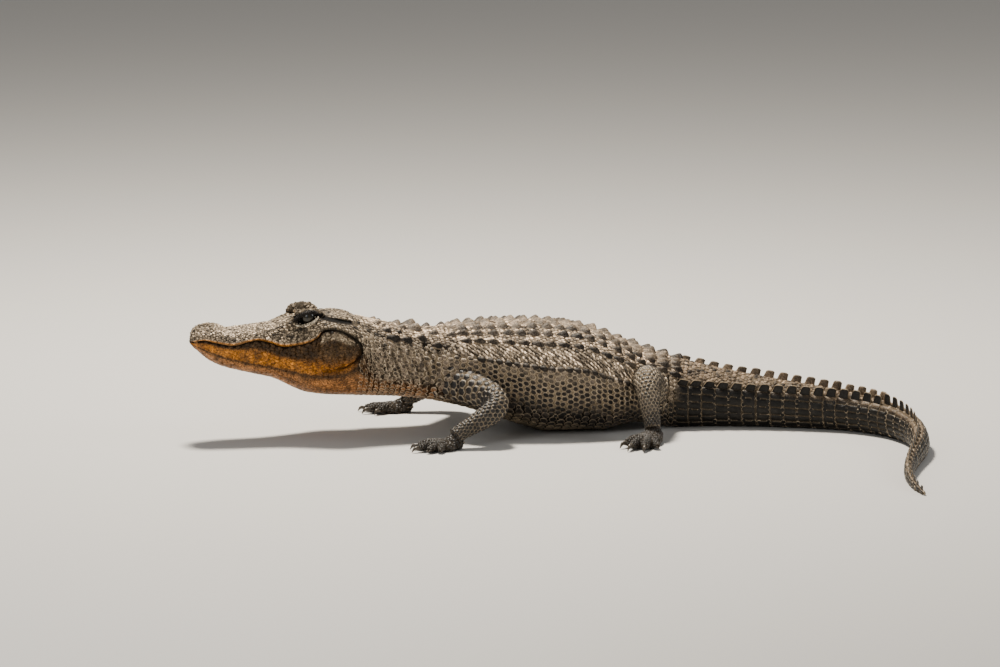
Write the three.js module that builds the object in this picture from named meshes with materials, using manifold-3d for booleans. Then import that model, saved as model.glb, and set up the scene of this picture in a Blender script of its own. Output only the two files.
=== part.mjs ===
// American alligator at life size, lying on its belly with its head held a little up.
// Millimetres, +Z up. The head points toward -X, the tail toward +X, and the left side is -Y.
// The origin is on the floor, in the middle of the flat that the belly rests on.

import * as THREE from 'three';
import { LoftGeometry } from 'three/addons/geometries/LoftGeometry.js';
import { ConvexGeometry } from 'three/addons/geometries/ConvexGeometry.js';
import { mergeVertices } from 'three/addons/utils/BufferGeometryUtils.js';
import Module from 'manifold-3d';

const wasm = await Module();
wasm.setup();

// Driving dimensions

const snoutReach = 741; // from the origin forward to the tip of the snout
const headLength = 352; // snout tip to the back of the jaws
const neckEnd = 492; // where the neck meets the torso, measured from the snout like all stations
const torsoEnd = 1035; // where the torso meets the tail
const tailCuts = [1330, 1700]; // the tail is parted into three lengths here
const bodyLength = 2150; // snout tip to tail tip along the midline
const cutGap = 0.3; // thin gap between two nodes that meet

const mouthGap = 0.5; // between the jaws
const lipOverhang = 3; // the upper lip covers the lower jaw by this much

const eye = { station: 241, side: 43, height: 257, radius: 17.7, gap: 0.3 };
const nostril = { station: 34, side: 10, above: 10, length: 9, width: 4.5, depth: 6, turn: 28 };

// Forms by each eye, as ellipsoids: radii, and how far ahead of the eye, inward and below it they lie
const brow = { radii: [33, 16.5, 20], ahead: -2, inward: 1, below: 2, tilt: 4, turn: 4 };
const browRidge = { radii: [50, 14, 15], ahead: 30, inward: 6, below: 18, tilt: -22, turn: -6 };
const lidOpening = { radii: [21, 13, 10.5], ahead: 4, inward: -16, below: 3, tilt: -20, turn: 0 };
const earSlit = { radii: [36, 7, 3.5], ahead: -60, inward: -11, below: 8, tilt: 9, turn: -2 };
const noseMound = { radii: [33, 30, 14], station: 43, below: 3 };

const bodySides = 24; // points round the neck and the torso
const tailSides = 14;

// Profiles along the body: pairs of station and value, joined by smooth curves

const backHeight = profile([
  [340, 250], [399, 236], [452, 224], [506, 217], [570, 221], [677, 224], [741, 222], [805, 214],
  [869, 195], [955, 158], [1065, 129], [1205, 106], [1380, 86], [1650, 62], [1950, 34], [2150, 9],
]);
const bellyHeight = profile([
  [340, 82], [400, 80], [491, 70], [570, 52], [640, 28], [700, 8], [735, -2], [850, -3], [885, 8],
  [930, 15], [985, 8], [1050, -2], [2060, -2], [2150, 0],
]);
const halfWidth = profile([
  [340, 98], [399, 94], [452, 92], [506, 100], [570, 118], [640, 141], [741, 160], [805, 162],
  [869, 155], [910, 138], [945, 116], [985, 98], [1035, 82], [1100, 67], [1205, 53], [1305, 44], [1500, 30],
  [1650, 22], [1800, 16], [1950, 11], [2150, 4],
]);
// share of the height at which the body is widest
const waist = profile([[340, 0.5], [506, 0.5], [741, 0.42], [1000, 0.42], [2150, 0.35]]);
// roundness of the section: 2 is an ellipse, more is squarer
const squareness = profile([[340, 2.3], [741, 2.4], [1000, 2.2], [2150, 2]]);

const rollPivot = 40; // height of the line that the tail tilts about
// Tilt of the hindquarters and tail toward the left side, in degrees
const roll = profile([
  [820, 0], [930, 8], [1000, 14], [1065, 19], [1300, 22], [1500, 15], [1800, 5], [2150, 0],
]);

// Bend of the tail toward the left side, in degrees from +X
const tailHeading = profile([
  [900, 0], [990, -10], [1065, -18], [1205, -25], [1320, -31], [1400, -43], [1550, -76],
  [1700, -103], [1800, -113], [1900, -111], [2010, -100], [2150, -84],
]);

// Profiles of the head
const roofHeight = profile([
  [0, 214], [10, 224], [25, 231], [42, 234], [66, 231], [100, 234], [140, 238], [180, 243],
  [205, 249], [240, 256], [270, 260], [300, 261], [340, 255], [352, 247],
]);
const roofHalf = profile([[0, 5], [20, 18], [60, 27], [120, 27], [200, 30], [250, 36], [290, 46], [352, 49]]);
const lipHalf = profile([
  [0, 14], [6, 25], [18, 36], [35, 44], [60, 50], [90, 52], [137, 52], [188, 62], [240, 80],
  [290, 93], [352, 98],
]);
const mouthHeight = profile([
  [0, 207], [25, 213], [50, 208], [86, 202], [112, 208], [137, 212], [160, 207], [188, 198],
  [215, 203], [240, 216], [261, 226], [290, 229], [320, 221], [352, 206],
]);
// lower edge of the jaw, above the soft skin of the throat
const jawEdgeHeight = profile([
  [0, 203], [25, 198], [70, 183], [135, 166], [195, 157], [255, 149], [305, 156], [352, 184],
]);
const throatHeight = profile([
  [0, 198], [13, 189], [40, 166], [69, 152], [100, 143], [131, 135], [171, 125], [216, 103],
  [240, 93], [300, 85], [352, 82],
]);
// fullness of the face between lip and roof
const cheekFullness = profile([[0, 2.2], [120, 2.2], [220, 1.5], [352, 1.35]]);

// Back plates: rows across the torso, each with three pairs of keeled plates, and one row of
// smaller ones low on each flank
const backPlates = {
  first: 574, last: 1012, pitch: 33.5, angles: [9, 27, 44], hips: 890,
  length: 27, width: 29, height: 10, root: 6,
};
const flankPlates = { first: 606, last: 860, pitch: 31.5, angle: 70, length: 19, width: 16, height: 7, root: 5 };
// Plates of the neck: station, angle from the top, size
const neckPlates = [
  [405, 32, 0.8], [416, 47, 1.1], [440, 15, 0.85], [445, 46, 0.95], [467, 13, 1.3], [478, 38, 1],
  [507, 50, 0.8], [506, 22, 0.85], [541, 29, 0.85],
];
const neckPlate = { length: 26, width: 24, height: 10, root: 8, overlap: 26 };
// Tail crest: two rows of blades that rise toward the middle of the tail, then one row
const doubleCrest = { first: 1046, last: 1490, pitch: 31, low: 11, high: 22, length: 29, thickness: 9 };
const singleCrest = { first: 1515, last: 2125, pitch: 28, high: 26, low: 9, length: 27, thickness: 6 };
const innerTailPlates = { last: 1240, angle: 13, length: 22, width: 22, height: 6, root: 6 };

// Legs of the left side; the right side is their mirror image, set a little differently
const foreleg = {
  shoulder: [-212, -62, 122], elbow: [-132, -186, 84], wrist: [-228, -214, 26],
  radii: [40, 36, 31, 28, 24, 19, 17],
  rightShift: [0, -12, -22],
};
const hindleg = {
  hip: [232, -41, 60], knee: [192, -163, 112], ankle: [190, -222, 27],
  radii: [42, 40, 36, 31, 26, 21, 18],
  rightShift: [0, 12, 26],
};
const legSides = 12;
const webThickness = 6;
const hand = {
  palm: [30, 28, 15], heading: 192, rise: 9, heel: [22, 20, 19],
  toes: [
    { spread: -50, length: 40, radius: 8.5, claw: 12 },
    { spread: -23, length: 50, radius: 8.5, claw: 13 },
    { spread: 3, length: 54, radius: 8, claw: 13 },
    { spread: 29, length: 50, radius: 7, claw: 0 },
    { spread: 56, length: 40, radius: 6.5, claw: 0 },
  ],
  web: 0.42,
};
const foot = {
  palm: [40, 29, 17], heading: 238, rise: 10, heel: [24, 22, 20],
  toes: [
    { spread: -30, length: 56, radius: 9.5, claw: 15 },
    { spread: -8, length: 72, radius: 9.5, claw: 16 },
    { spread: 13, length: 74, radius: 9, claw: 16 },
    { spread: 35, length: 62, radius: 7.5, claw: 0 },
  ],
  web: 0.7,
};

const far = 3000; // larger than the whole animal

// Smooth curve through pairs of station and value that never swings past them
function profile(stations) {
  const rises = [];
  for (let i = 0; i + 1 < stations.length; i++) {
    rises.push((stations[i + 1][1] - stations[i][1]) / (stations[i + 1][0] - stations[i][0]));
  }
  const slopes = stations.map((station, i) => {
    const before = rises[Math.max(i - 1, 0)];
    const after = rises[Math.min(i, rises.length - 1)];
    return before * after <= 0 ? 0 : (2 * before * after) / (before + after);
  });
  return (at) => {
    const last = stations.length - 1;
    const s = Math.min(Math.max(at, stations[0][0]), stations[last][0]);
    let i = 0;
    while (i < last - 1 && s > stations[i + 1][0]) i += 1;
    const span = stations[i + 1][0] - stations[i][0];
    const t = (s - stations[i][0]) / span;
    const start = stations[i][1] * (1 + 2 * t) * (1 - t) ** 2 + slopes[i] * span * t * (1 - t) ** 2;
    const end = stations[i + 1][1] * t * t * (3 - 2 * t) + slopes[i + 1] * span * t * t * (t - 1);
    return start + end;
  };
}

// Midline: straight from the snout to the hips, then bent by the headings
const midlineStep = 5;
const midlinePoints = [];
for (let s = 0, x = -snoutReach, y = 0; s <= bodyLength + midlineStep; s += midlineStep) {
  const heading = THREE.MathUtils.degToRad(tailHeading(s));
  midlinePoints.push({ x, y, heading });
  x += midlineStep * Math.cos(heading);
  y += midlineStep * Math.sin(heading);
}

function midline(s) {
  const i = Math.min(Math.max(Math.floor(s / midlineStep), 0), midlinePoints.length - 2);
  const t = s / midlineStep - i;
  const a = midlinePoints[i];
  const b = midlinePoints[i + 1];
  return {
    x: a.x + (b.x - a.x) * t,
    y: a.y + (b.y - a.y) * t,
    heading: a.heading + (b.heading - a.heading) * t,
  };
}

// A point beside the midline: side is positive toward the right of the animal
function beside(s, side, height) {
  const m = midline(s);
  return new THREE.Vector3(m.x - side * Math.sin(m.heading), m.y + side * Math.cos(m.heading), height);
}

function power(value, exponent) {
  return Math.sign(value) * Math.abs(value) ** exponent;
}

// Surface of the neck, torso and tail; the angle runs from the top toward the left side
function bodyPoint(s, angle, grow = 0) {
  const top = backHeight(s) + grow;
  const bottom = bellyHeight(s) - grow;
  const middle = bottom + waist(s) * (top - bottom);
  const exponent = 2 / squareness(s);
  const up = power(Math.cos(angle), exponent);
  const side = -power(Math.sin(angle), exponent) * (halfWidth(s) + grow);
  const rise = middle + up * (up > 0 ? top - middle : middle - bottom) - rollPivot;
  const tilt = THREE.MathUtils.degToRad(roll(s));
  return beside(
    s,
    side * Math.cos(tilt) - rise * Math.sin(tilt),
    rollPivot + rise * Math.cos(tilt) + side * Math.sin(tilt),
  );
}

function bodyRing(s, sides, grow = 0) {
  const ring = [];
  for (let k = 0; k < sides; k++) ring.push(bodyPoint(s, (k / sides) * 2 * Math.PI, grow));
  return ring;
}

// Solids from geometries, and back

function solid(geometry) {
  const bare = new THREE.BufferGeometry();
  bare.setAttribute('position', geometry.getAttribute('position'));
  bare.setIndex(geometry.index);
  const merged = mergeVertices(bare, 1e-4);
  return new wasm.Manifold(new wasm.Mesh({
    numProp: 3,
    vertProperties: new Float32Array(merged.attributes.position.array),
    triVerts: new Uint32Array(merged.index.array),
  }));
}

function largest(body) {
  return body.decompose().reduce((best, piece) => (piece.volume() > best.volume() ? piece : best));
}

function loft(rings) {
  return solid(new LoftGeometry(rings, { capStart: true, capEnd: true }));
}

function box(size, centre, heading = 0) {
  const geometry = new THREE.BoxGeometry(size[0], size[1], size[2]);
  geometry.rotateZ(heading);
  geometry.translate(centre[0], centre[1], centre[2]);
  return solid(geometry);
}

function ellipsoid(radii, centre, tilt = 0, turn = 0, widthSegments = 14, heightSegments = 9) {
  const geometry = new THREE.SphereGeometry(1, widthSegments, heightSegments);
  geometry.rotateX(Math.PI / 2);
  geometry.scale(radii[0], radii[1], radii[2]);
  geometry.rotateY(THREE.MathUtils.degToRad(tilt));
  geometry.rotateZ(THREE.MathUtils.degToRad(turn));
  geometry.translate(centre[0], centre[1], centre[2]);
  return solid(geometry);
}

const belowFloor = box([far * 2, far * 2, far], [0, 0, -far / 2]);

// Everything behind or before a station, as a large box with one face across the midline
function beyond(s, direction) {
  const m = midline(s);
  const reach = direction * 300;
  const centre = [m.x + reach * Math.cos(m.heading), m.y + reach * Math.sin(m.heading), 0];
  return box([600, 700, far], centre, m.heading);
}

const parts = new THREE.Group();
parts.name = 'american_alligator';

function addNode(name, body, colour, roughness) {
  const kept = largest(body);
  const mesh = kept.getMesh();
  const geometry = new THREE.BufferGeometry();
  geometry.setAttribute('position', new THREE.Float32BufferAttribute(mesh.vertProperties, 3));
  geometry.setIndex(new THREE.Uint32BufferAttribute(mesh.triVerts, 1));
  const material = new THREE.MeshStandardMaterial({ color: colour, roughness, metalness: 0 });
  const node = new THREE.Mesh(geometry, material);
  node.name = name;
  parts.add(node);
}

// Colours
const hideColour = 0x4b463c;
const headColour = 0x5d584c;
const jawColour = 0x7a5c34;
const tailColour = 0x3f3b34;
const legColour = 0x3a3934;
const eyeColour = 0x23251a;

// Plates and blades

const sides = [-1, 1]; // left and right

// A low plate, near to a rectangle, with a keel that rises toward the tail
function keeledPlate(length, width, height, root) {
  const points = [];
  for (const end of [-1, 1]) {
    for (const side of sides) {
      const x = end * length * 0.46;
      const y = side * width * (end < 0 ? 0.4 : 0.46);
      points.push(new THREE.Vector3(x, y, height * 0.15));
      points.push(new THREE.Vector3(x * 0.85, y * 0.85, -root));
    }
  }
  points.push(new THREE.Vector3(-length * 0.4, 0, height * 0.5));
  points.push(new THREE.Vector3(length * 0.4, 0, height));
  return new ConvexGeometry(points);
}

// An upright blade of the tail crest that leans back
function crestBlade(length, thickness, height, root) {
  const points = [];
  for (const side of sides) {
    const y = (side * thickness) / 2;
    points.push(new THREE.Vector3(-length / 2, y * 0.7, -root));
    points.push(new THREE.Vector3(length / 2, y * 0.7, -root));
    points.push(new THREE.Vector3(-length * 0.48, y, 0));
    points.push(new THREE.Vector3(length * 0.48, y, 0));
    points.push(new THREE.Vector3(length * 0.34, y * 0.3, height));
  }
  points.push(new THREE.Vector3(-length * 0.14, 0, height * 0.9));
  return new ConvexGeometry(points);
}

// Sets a piece on the surface of the body, its X axis toward the tail and its Z axis outward
function onBody(geometry, s, angle, upright = 0) {
  const step = 1;
  const turn = 0.01;
  const at = bodyPoint(s, angle);
  const along = bodyPoint(s + step, angle).sub(bodyPoint(s - step, angle)).normalize();
  const across = bodyPoint(s, angle + turn).sub(bodyPoint(s, angle - turn)).normalize();
  const outward = new THREE.Vector3().crossVectors(across, along).normalize();
  const lifted = outward.lerp(new THREE.Vector3(0, 0, 1), upright).normalize();
  const sideways = new THREE.Vector3().crossVectors(lifted, along).normalize();
  const tailward = new THREE.Vector3().crossVectors(sideways, lifted);
  const frame = new THREE.Matrix4().makeBasis(tailward, sideways, lifted).setPosition(at);
  return solid(geometry.applyMatrix4(frame));
}

// Even variation between -1 and 1 that is the same on every run
function vary(index) {
  return Math.sin(index * 12.9898) * Math.cos(index * 4.1414);
}

function backPlateRows() {
  const plates = [];
  const rows = Math.round((backPlates.last - backPlates.first) / backPlates.pitch);
  for (let row = 0; row <= rows; row++) {
    const s = backPlates.first + (row * (backPlates.last - backPlates.first)) / rows;
    const spread = 0.6 + 0.4 * (halfWidth(s) / 162);
    backPlates.angles.forEach((angle, column) => {
      if (column === 2 && s > backPlates.hips) return;
      for (const side of sides) {
        const index = row * 7 + column * 2 + side;
        const size = spread * (1 + 0.1 * vary(index));
        const height = backPlates.height * (column === 1 ? 1.1 : 0.95) * (1 + 0.12 * vary(index + 50));
        const width = backPlates.width * size * (column === 0 ? 0.92 : 1);
        const geometry = keeledPlate(backPlates.length, width, height, backPlates.root);
        plates.push(onBody(geometry, s, THREE.MathUtils.degToRad(angle * side)));
      }
    });
  }
  return plates;
}

function flankPlateRows() {
  const plates = [];
  const { first, last, pitch, length, width, height, root } = flankPlates;
  for (let s = first; s <= last; s += pitch) {
    for (const side of sides) {
      const tall = height * (1 + 0.15 * vary(s + side));
      const angle = THREE.MathUtils.degToRad(flankPlates.angle * side);
      plates.push(onBody(keeledPlate(length, width, tall, root), s, angle));
    }
  }
  return plates;
}

function neckPlateSet(firstStation) {
  const plates = [];
  for (const [s, angle, size] of neckPlates.filter(([station]) => station > firstStation)) {
    for (const side of sides) {
      const { length, width, height, root } = neckPlate;
      const geometry = keeledPlate(length * size, width * size, height * size, root);
      plates.push(onBody(geometry, s, THREE.MathUtils.degToRad(angle * side)));
    }
  }
  return plates;
}

function tailPlates() {
  const plates = [];
  const rows = Math.round((doubleCrest.last - doubleCrest.first) / doubleCrest.pitch);
  for (let row = 0; row <= rows; row++) {
    const share = row / rows;
    const s = doubleCrest.first + share * (doubleCrest.last - doubleCrest.first);
    const height = doubleCrest.low + (doubleCrest.high - doubleCrest.low) * share;
    const angle = 40 - 26 * share;
    for (const side of sides) {
      const tall = height * (1 + 0.1 * vary(row * 3 + side));
      const geometry = crestBlade(doubleCrest.length, doubleCrest.thickness, tall, 8);
      plates.push(onBody(geometry, s, THREE.MathUtils.degToRad(angle * side), 0.35 + 0.4 * share));
    }
    if (s < innerTailPlates.last) {
      const { length, width, root } = innerTailPlates;
      for (const side of sides) {
        const geometry = keeledPlate(length, width, innerTailPlates.height, root);
        plates.push(onBody(geometry, s, THREE.MathUtils.degToRad(innerTailPlates.angle * side)));
      }
    }
  }
  const blades = Math.round((singleCrest.last - singleCrest.first) / singleCrest.pitch);
  for (let row = 0; row <= blades; row++) {
    const share = row / blades;
    const s = singleCrest.first + share * (singleCrest.last - singleCrest.first);
    const height = (singleCrest.high + (singleCrest.low - singleCrest.high) * share) * (1 + 0.08 * vary(row));
    const thickness = singleCrest.thickness * (1 - 0.45 * share);
    const length = singleCrest.length * (1 - 0.35 * share);
    plates.push(onBody(crestBlade(length, thickness, height, 7 - 3 * share), s, 0));
  }
  return plates;
}

// Neck, torso and tail

const half = cutGap / 2;

function evenStations(start, end, count) {
  return Array.from({ length: count + 1 }, (unused, i) => start + ((end - start) * i) / count);
}

const neckStations = evenStations(headLength + half, neckEnd - half, 6);
const torsoStations = evenStations(neckEnd + half, torsoEnd - half, 19);
const tailStations = [
  evenStations(torsoEnd + half, tailCuts[0] - half, 9),
  evenStations(tailCuts[0] + half, tailCuts[1] - half, 12),
  evenStations(tailCuts[1] + half, bodyLength, 11),
];

// A length of the trunk with its plates, cut square to the midline at both ends
function trunkPiece(stations, sidesRound, plates) {
  const body = loft(stations.map((s) => bodyRing(s, sidesRound)));
  const last = stations.length - 1;
  const set = wasm.Manifold.union(plates).subtract(beyond(stations[0], -1)).subtract(beyond(stations[last], 1));
  return body.add(set).subtract(belowFloor);
}

const neckSet = neckPlateSet(headLength);
const torsoSet = [...backPlateRows(), ...flankPlateRows(), ...neckPlateSet(neckEnd - neckPlate.overlap)];
const tailSet = tailPlates();
addNode('neck', trunkPiece(neckStations, bodySides, neckSet), hideColour, 0.8);
addNode('torso', trunkPiece(torsoStations, bodySides, torsoSet), hideColour, 0.8);
addNode('tail_base', trunkPiece(tailStations[0], tailSides, tailSet), tailColour, 0.8);
addNode('tail_middle', trunkPiece(tailStations[1], tailSides, tailSet), tailColour, 0.8);
addNode('tail_tip', trunkPiece(tailStations[2], tailSides, tailSet), tailColour, 0.8);

// Head

const headStations = [
  0, 4, 11, 21, 34, 50, 67, 85, 103, 121, 139, 157, 175, 192, 209, 226, 243, 261, 279, 298, 318, 337,
];
headStations.push(headLength - half);

function upperRing(s) {
  const lip = lipHalf(s);
  const roof = roofHalf(s);
  const mouth = mouthHeight(s);
  const height = roofHeight(s);
  const exponent = 2 / cheekFullness(s);
  const side = [];
  const steps = 7;
  for (let k = 0; k <= steps; k++) {
    const angle = (k / steps) * (Math.PI / 2);
    const y = roof + (lip - roof) * Math.cos(angle) ** exponent;
    side.push([y, mouth + (height - 2 - mouth) * Math.sin(angle) ** exponent]);
  }
  side.push([roof * 0.5, height - 0.4]);
  const ring = side.map(([y, z]) => beside(s, y, z));
  ring.push(beside(s, 0, height));
  side.reverse().forEach(([y, z]) => ring.push(beside(s, -y, z)));
  ring.push(beside(s, -lip * 0.5, mouth));
  ring.push(beside(s, lip * 0.5, mouth));
  return ring;
}

function lowerRing(s) {
  const overhang = s < 250 ? lipOverhang : 0;
  const jaw = lipHalf(s) - overhang;
  const top = mouthHeight(s) - mouthGap;
  const edge = Math.min(jawEdgeHeight(s), top - 2);
  const bottom = Math.min(throatHeight(s), edge - 2);
  const right = [[jaw, top], [jaw + 1, top * 0.6 + edge * 0.4], [jaw * 0.99, edge + 3], [jaw * 0.95, edge]];
  const steps = 5;
  for (let k = 1; k <= steps; k++) {
    const angle = (k / steps) * (Math.PI / 2);
    right.push([jaw * 0.9 * Math.cos(angle) ** 0.9, edge - (edge - bottom) * Math.sin(angle) ** 0.9]);
  }
  const ring = [beside(s, jaw * 0.5, top), beside(s, -jaw * 0.5, top)];
  right.forEach(([y, z]) => ring.push(beside(s, -y, z)));
  right.reverse().slice(1).forEach(([y, z]) => ring.push(beside(s, y, z)));
  return ring;
}

// The eyeball, or the socket that holds it
function ball(side, radius) {
  const centre = beside(eye.station, eye.side * side, eye.height).toArray();
  return ellipsoid([radius, radius, radius], centre, 0, 0, 12, 8);
}

// One of the forms by an eye
function byEye(form, side, widthSegments, heightSegments) {
  const place = beside(eye.station - form.ahead, (eye.side - form.inward) * side, eye.height - form.below);
  return ellipsoid(form.radii, place.toArray(), form.tilt, form.turn * side, widthSegments, heightSegments);
}

let skull = loft(headStations.map(upperRing));
const sockets = [];
for (const side of sides) {
  skull = skull.add(byEye(brow, side, 12, 8)).add(byEye(browRidge, side, 8, 5));
  sockets.push(ball(side, eye.radius + eye.gap), byEye(lidOpening, side, 10, 5), byEye(earSlit, side, 8, 4));
}
// nostrils on their low mound at the end of the snout
const moundTop = beside(noseMound.station, 0, roofHeight(noseMound.station) - noseMound.below);
skull = skull.add(ellipsoid(noseMound.radii, moundTop.toArray(), 0, 0, 12, 6));
for (const side of sides) {
  const height = roofHeight(nostril.station) + nostril.above;
  const centre = beside(nostril.station, nostril.side * side, height).toArray();
  sockets.push(ellipsoid([nostril.length, nostril.width, nostril.depth], centre, 0, side * nostril.turn, 6, 4));
}
for (const cut of sockets) skull = skull.subtract(cut);
addNode('head', skull.subtract(beyond(headLength - half, 1)), headColour, 0.75);
addNode('lower_jaw', loft(headStations.map(lowerRing)), jawColour, 0.75);

for (const side of sides) {
  addNode(side < 0 ? 'eye_left' : 'eye_right', ball(side, eye.radius), eyeColour, 0.2);
}

// Legs

// Rings along a bent limb, oval, with a radius for each of several even steps
function limbRings(points, radii, count, flatness) {
  const curve = new THREE.CatmullRomCurve3(points.map((p) => new THREE.Vector3(...p)), false, 'centripetal');
  const rings = [];
  const reference = new THREE.Vector3(0, 0, 1);
  for (let i = 0; i <= count; i++) {
    const t = i / count;
    const centre = curve.getPoint(t);
    const along = curve.getTangent(t);
    const sideways = new THREE.Vector3().crossVectors(reference, along).normalize();
    const upward = new THREE.Vector3().crossVectors(along, sideways);
    const place = t * (radii.length - 1);
    const index = Math.min(Math.floor(place), radii.length - 2);
    const radius = radii[index] + (radii[index + 1] - radii[index]) * (place - index);
    const ring = [];
    for (let k = 0; k < legSides; k++) {
      const angle = (k / legSides) * 2 * Math.PI;
      const point = centre.clone().addScaledVector(sideways, radius * flatness * Math.cos(angle));
      ring.push(point.addScaledVector(upward, radius * Math.sin(angle)));
    }
    rings.push({ ring, along });
  }
  return rings;
}

function limbPiece(rings, first, last, startGap, endGap) {
  const chosen = rings.slice(first, last + 1).map(({ ring, along }, i, all) => {
    const shift = (i === 0 ? startGap : 0) - (i === all.length - 1 ? endGap : 0);
    return ring.map((p) => p.clone().addScaledVector(along, shift));
  });
  return loft(chosen);
}

// A toe with its claw, from the palm outward along a heading
function toe(start, heading, { length, radius, claw }) {
  const forward = new THREE.Vector3(Math.cos(heading), Math.sin(heading), 0);
  const at = (distance, height) => start.clone().addScaledVector(forward, distance).setZ(height);
  const points = [at(0, radius * 1.5), at(length * 0.5, radius * 1.6), at(length, radius * 0.9)];
  const radii = [radius * 1.25, radius * 1.05, radius * 1.1, radius * 0.75];
  const pieces = [tube(points, radii, 3, 6)];
  if (claw > 0) {
    const nail = [at(length - 5, radius * 1.1), at(length + claw * 0.55, radius * 1.05), at(length + claw, 1.2)];
    pieces.push(tube(nail, [radius * 0.62, radius * 0.42, 0.7], 2, 5));
  }
  return pieces;
}

function tube(points, radii, count, sidesRound) {
  const curve = new THREE.CatmullRomCurve3(points, false, 'centripetal');
  const rings = [];
  for (let i = 0; i <= count; i++) {
    const t = i / count;
    const along = curve.getTangent(t);
    const sideways = new THREE.Vector3(0, 0, 1).cross(along).normalize();
    const upward = new THREE.Vector3().crossVectors(along, sideways);
    const place = t * (radii.length - 1);
    const index = Math.min(Math.floor(place), radii.length - 2);
    const radius = radii[index] + (radii[index + 1] - radii[index]) * (place - index);
    const centre = curve.getPoint(t);
    const ring = [];
    for (let k = 0; k < sidesRound; k++) {
      const angle = (k / sidesRound) * 2 * Math.PI;
      const point = centre.clone().addScaledVector(sideways, radius * Math.cos(angle));
      ring.push(point.addScaledVector(upward, radius * Math.sin(angle)));
    }
    rings.push(ring);
  }
  return loft(rings);
}

// Palm and toes, flat on the floor under the wrist or ankle
function paw(joint, shape, side) {
  const heading = THREE.MathUtils.degToRad(shape.heading) * -side;
  const forward = new THREE.Vector3(Math.cos(heading), Math.sin(heading), 0);
  const centre = new THREE.Vector3(joint[0], joint[1], 0).addScaledVector(forward, shape.palm[0] * 0.7);
  const middle = [centre.x, centre.y, shape.rise];
  const pieces = [ellipsoid(shape.palm, middle, 0, THREE.MathUtils.radToDeg(heading), 10, 5)];
  pieces.push(ellipsoid(shape.heel, [joint[0], joint[1], 13], 0, THREE.MathUtils.radToDeg(heading), 8, 5));
  for (const digit of shape.toes) {
    const direction = heading + THREE.MathUtils.degToRad(digit.spread) * -side;
    const root = centre.clone().addScaledVector(new THREE.Vector3(Math.cos(direction), Math.sin(direction), 0), 8);
    pieces.push(...toe(root, direction, digit));
  }
  pieces.push(web(centre, heading, shape, side));
  return wasm.Manifold.union(pieces);
}

// The web between the toes, a low fan on the floor
function web(centre, heading, shape, side) {
  const points = [];
  for (const digit of shape.toes) {
    const direction = heading + THREE.MathUtils.degToRad(digit.spread) * -side;
    const reach = 8 + digit.length * shape.web;
    for (const height of [0.5, webThickness]) {
      points.push(new THREE.Vector3(
        centre.x + reach * Math.cos(direction),
        centre.y + reach * Math.sin(direction),
        height,
      ));
    }
  }
  points.push(new THREE.Vector3(centre.x, centre.y, 0.5));
  points.push(new THREE.Vector3(centre.x, centre.y, webThickness * 2.2));
  return solid(new ConvexGeometry(points));
}

// Room of the neck, torso and tail base with a thin gap round it, where no leg goes
const bodyRoom = loft([...neckStations, ...torsoStations, ...tailStations[0]].map((s) => (
  bodyRing(s, bodySides, cutGap)
)));

function leg(names, joints, { radii, rightShift }, shape, side) {
  const shifts = side > 0 ? rightShift : [0, 0, 0];
  const placed = joints.map(([x, y, z], i) => [x + shifts[i], y * -side, z]);
  const count = 12;
  const rings = limbRings(placed, radii, count, 0.9);
  const knee = 6;
  const upper = limbPiece(rings, 0, knee, 0, half).subtract(bodyRoom);
  const lower = limbPiece(rings, knee, count, half, 0).subtract(bodyRoom).subtract(belowFloor);
  const end = paw(placed[2], shape, side).subtract(bodyRoom).subtract(belowFloor);
  const ankleRing = rings[count];
  const onward = ankleRing.along.clone().normalize();
  const centre = new THREE.Vector3();
  ankleRing.ring.forEach((p) => centre.add(p));
  centre.divideScalar(ankleRing.ring.length);
  const beyondAnkle = halfSpace(centre, onward);
  const beforeAnkle = halfSpace(centre.clone().addScaledVector(onward, cutGap), onward.clone().negate());
  addNode(names[0], upper, legColour, 0.7);
  addNode(names[1], lower.subtract(beyondAnkle), legColour, 0.7);
  addNode(names[2], end.subtract(beforeAnkle), legColour, 0.7);
}

// A large cube whose near face passes through a point, on the side that the normal points to
function halfSpace(point, normal) {
  const geometry = new THREE.BoxGeometry(400, 400, 400);
  geometry.translate(0, 0, 200);
  const turn = new THREE.Quaternion().setFromUnitVectors(new THREE.Vector3(0, 0, 1), normal);
  geometry.applyQuaternion(turn);
  geometry.translate(point.x, point.y, point.z);
  return solid(geometry);
}

for (const side of sides) {
  const word = side < 0 ? 'left' : 'right';
  const fore = [foreleg.shoulder, foreleg.elbow, foreleg.wrist];
  const hind = [hindleg.hip, hindleg.knee, hindleg.ankle];
  leg([`upper_arm_${word}`, `forearm_${word}`, `hand_${word}`], fore, foreleg, hand, side);
  leg([`thigh_${word}`, `shank_${word}`, `foot_${word}`], hind, hindleg, foot, side);
}

export default parts;
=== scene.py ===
import math

import bmesh
import bpy
import numpy as np
from mathutils import Matrix, Vector
from mathutils.bvhtree import BVHTree
from mathutils.kdtree import KDTree


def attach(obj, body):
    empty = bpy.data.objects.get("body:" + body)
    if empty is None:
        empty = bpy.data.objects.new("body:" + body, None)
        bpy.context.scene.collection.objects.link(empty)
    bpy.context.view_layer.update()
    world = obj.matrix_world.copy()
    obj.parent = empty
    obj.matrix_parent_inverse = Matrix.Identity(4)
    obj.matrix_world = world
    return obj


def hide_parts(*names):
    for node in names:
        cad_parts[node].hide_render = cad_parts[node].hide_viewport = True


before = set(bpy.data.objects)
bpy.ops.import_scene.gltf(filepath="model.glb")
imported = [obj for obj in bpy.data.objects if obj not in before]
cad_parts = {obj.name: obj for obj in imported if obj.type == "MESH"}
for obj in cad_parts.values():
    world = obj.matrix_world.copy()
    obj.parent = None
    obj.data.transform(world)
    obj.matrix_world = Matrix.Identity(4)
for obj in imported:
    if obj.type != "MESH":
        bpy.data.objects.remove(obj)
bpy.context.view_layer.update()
nodeNames = sorted(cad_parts)
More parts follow.
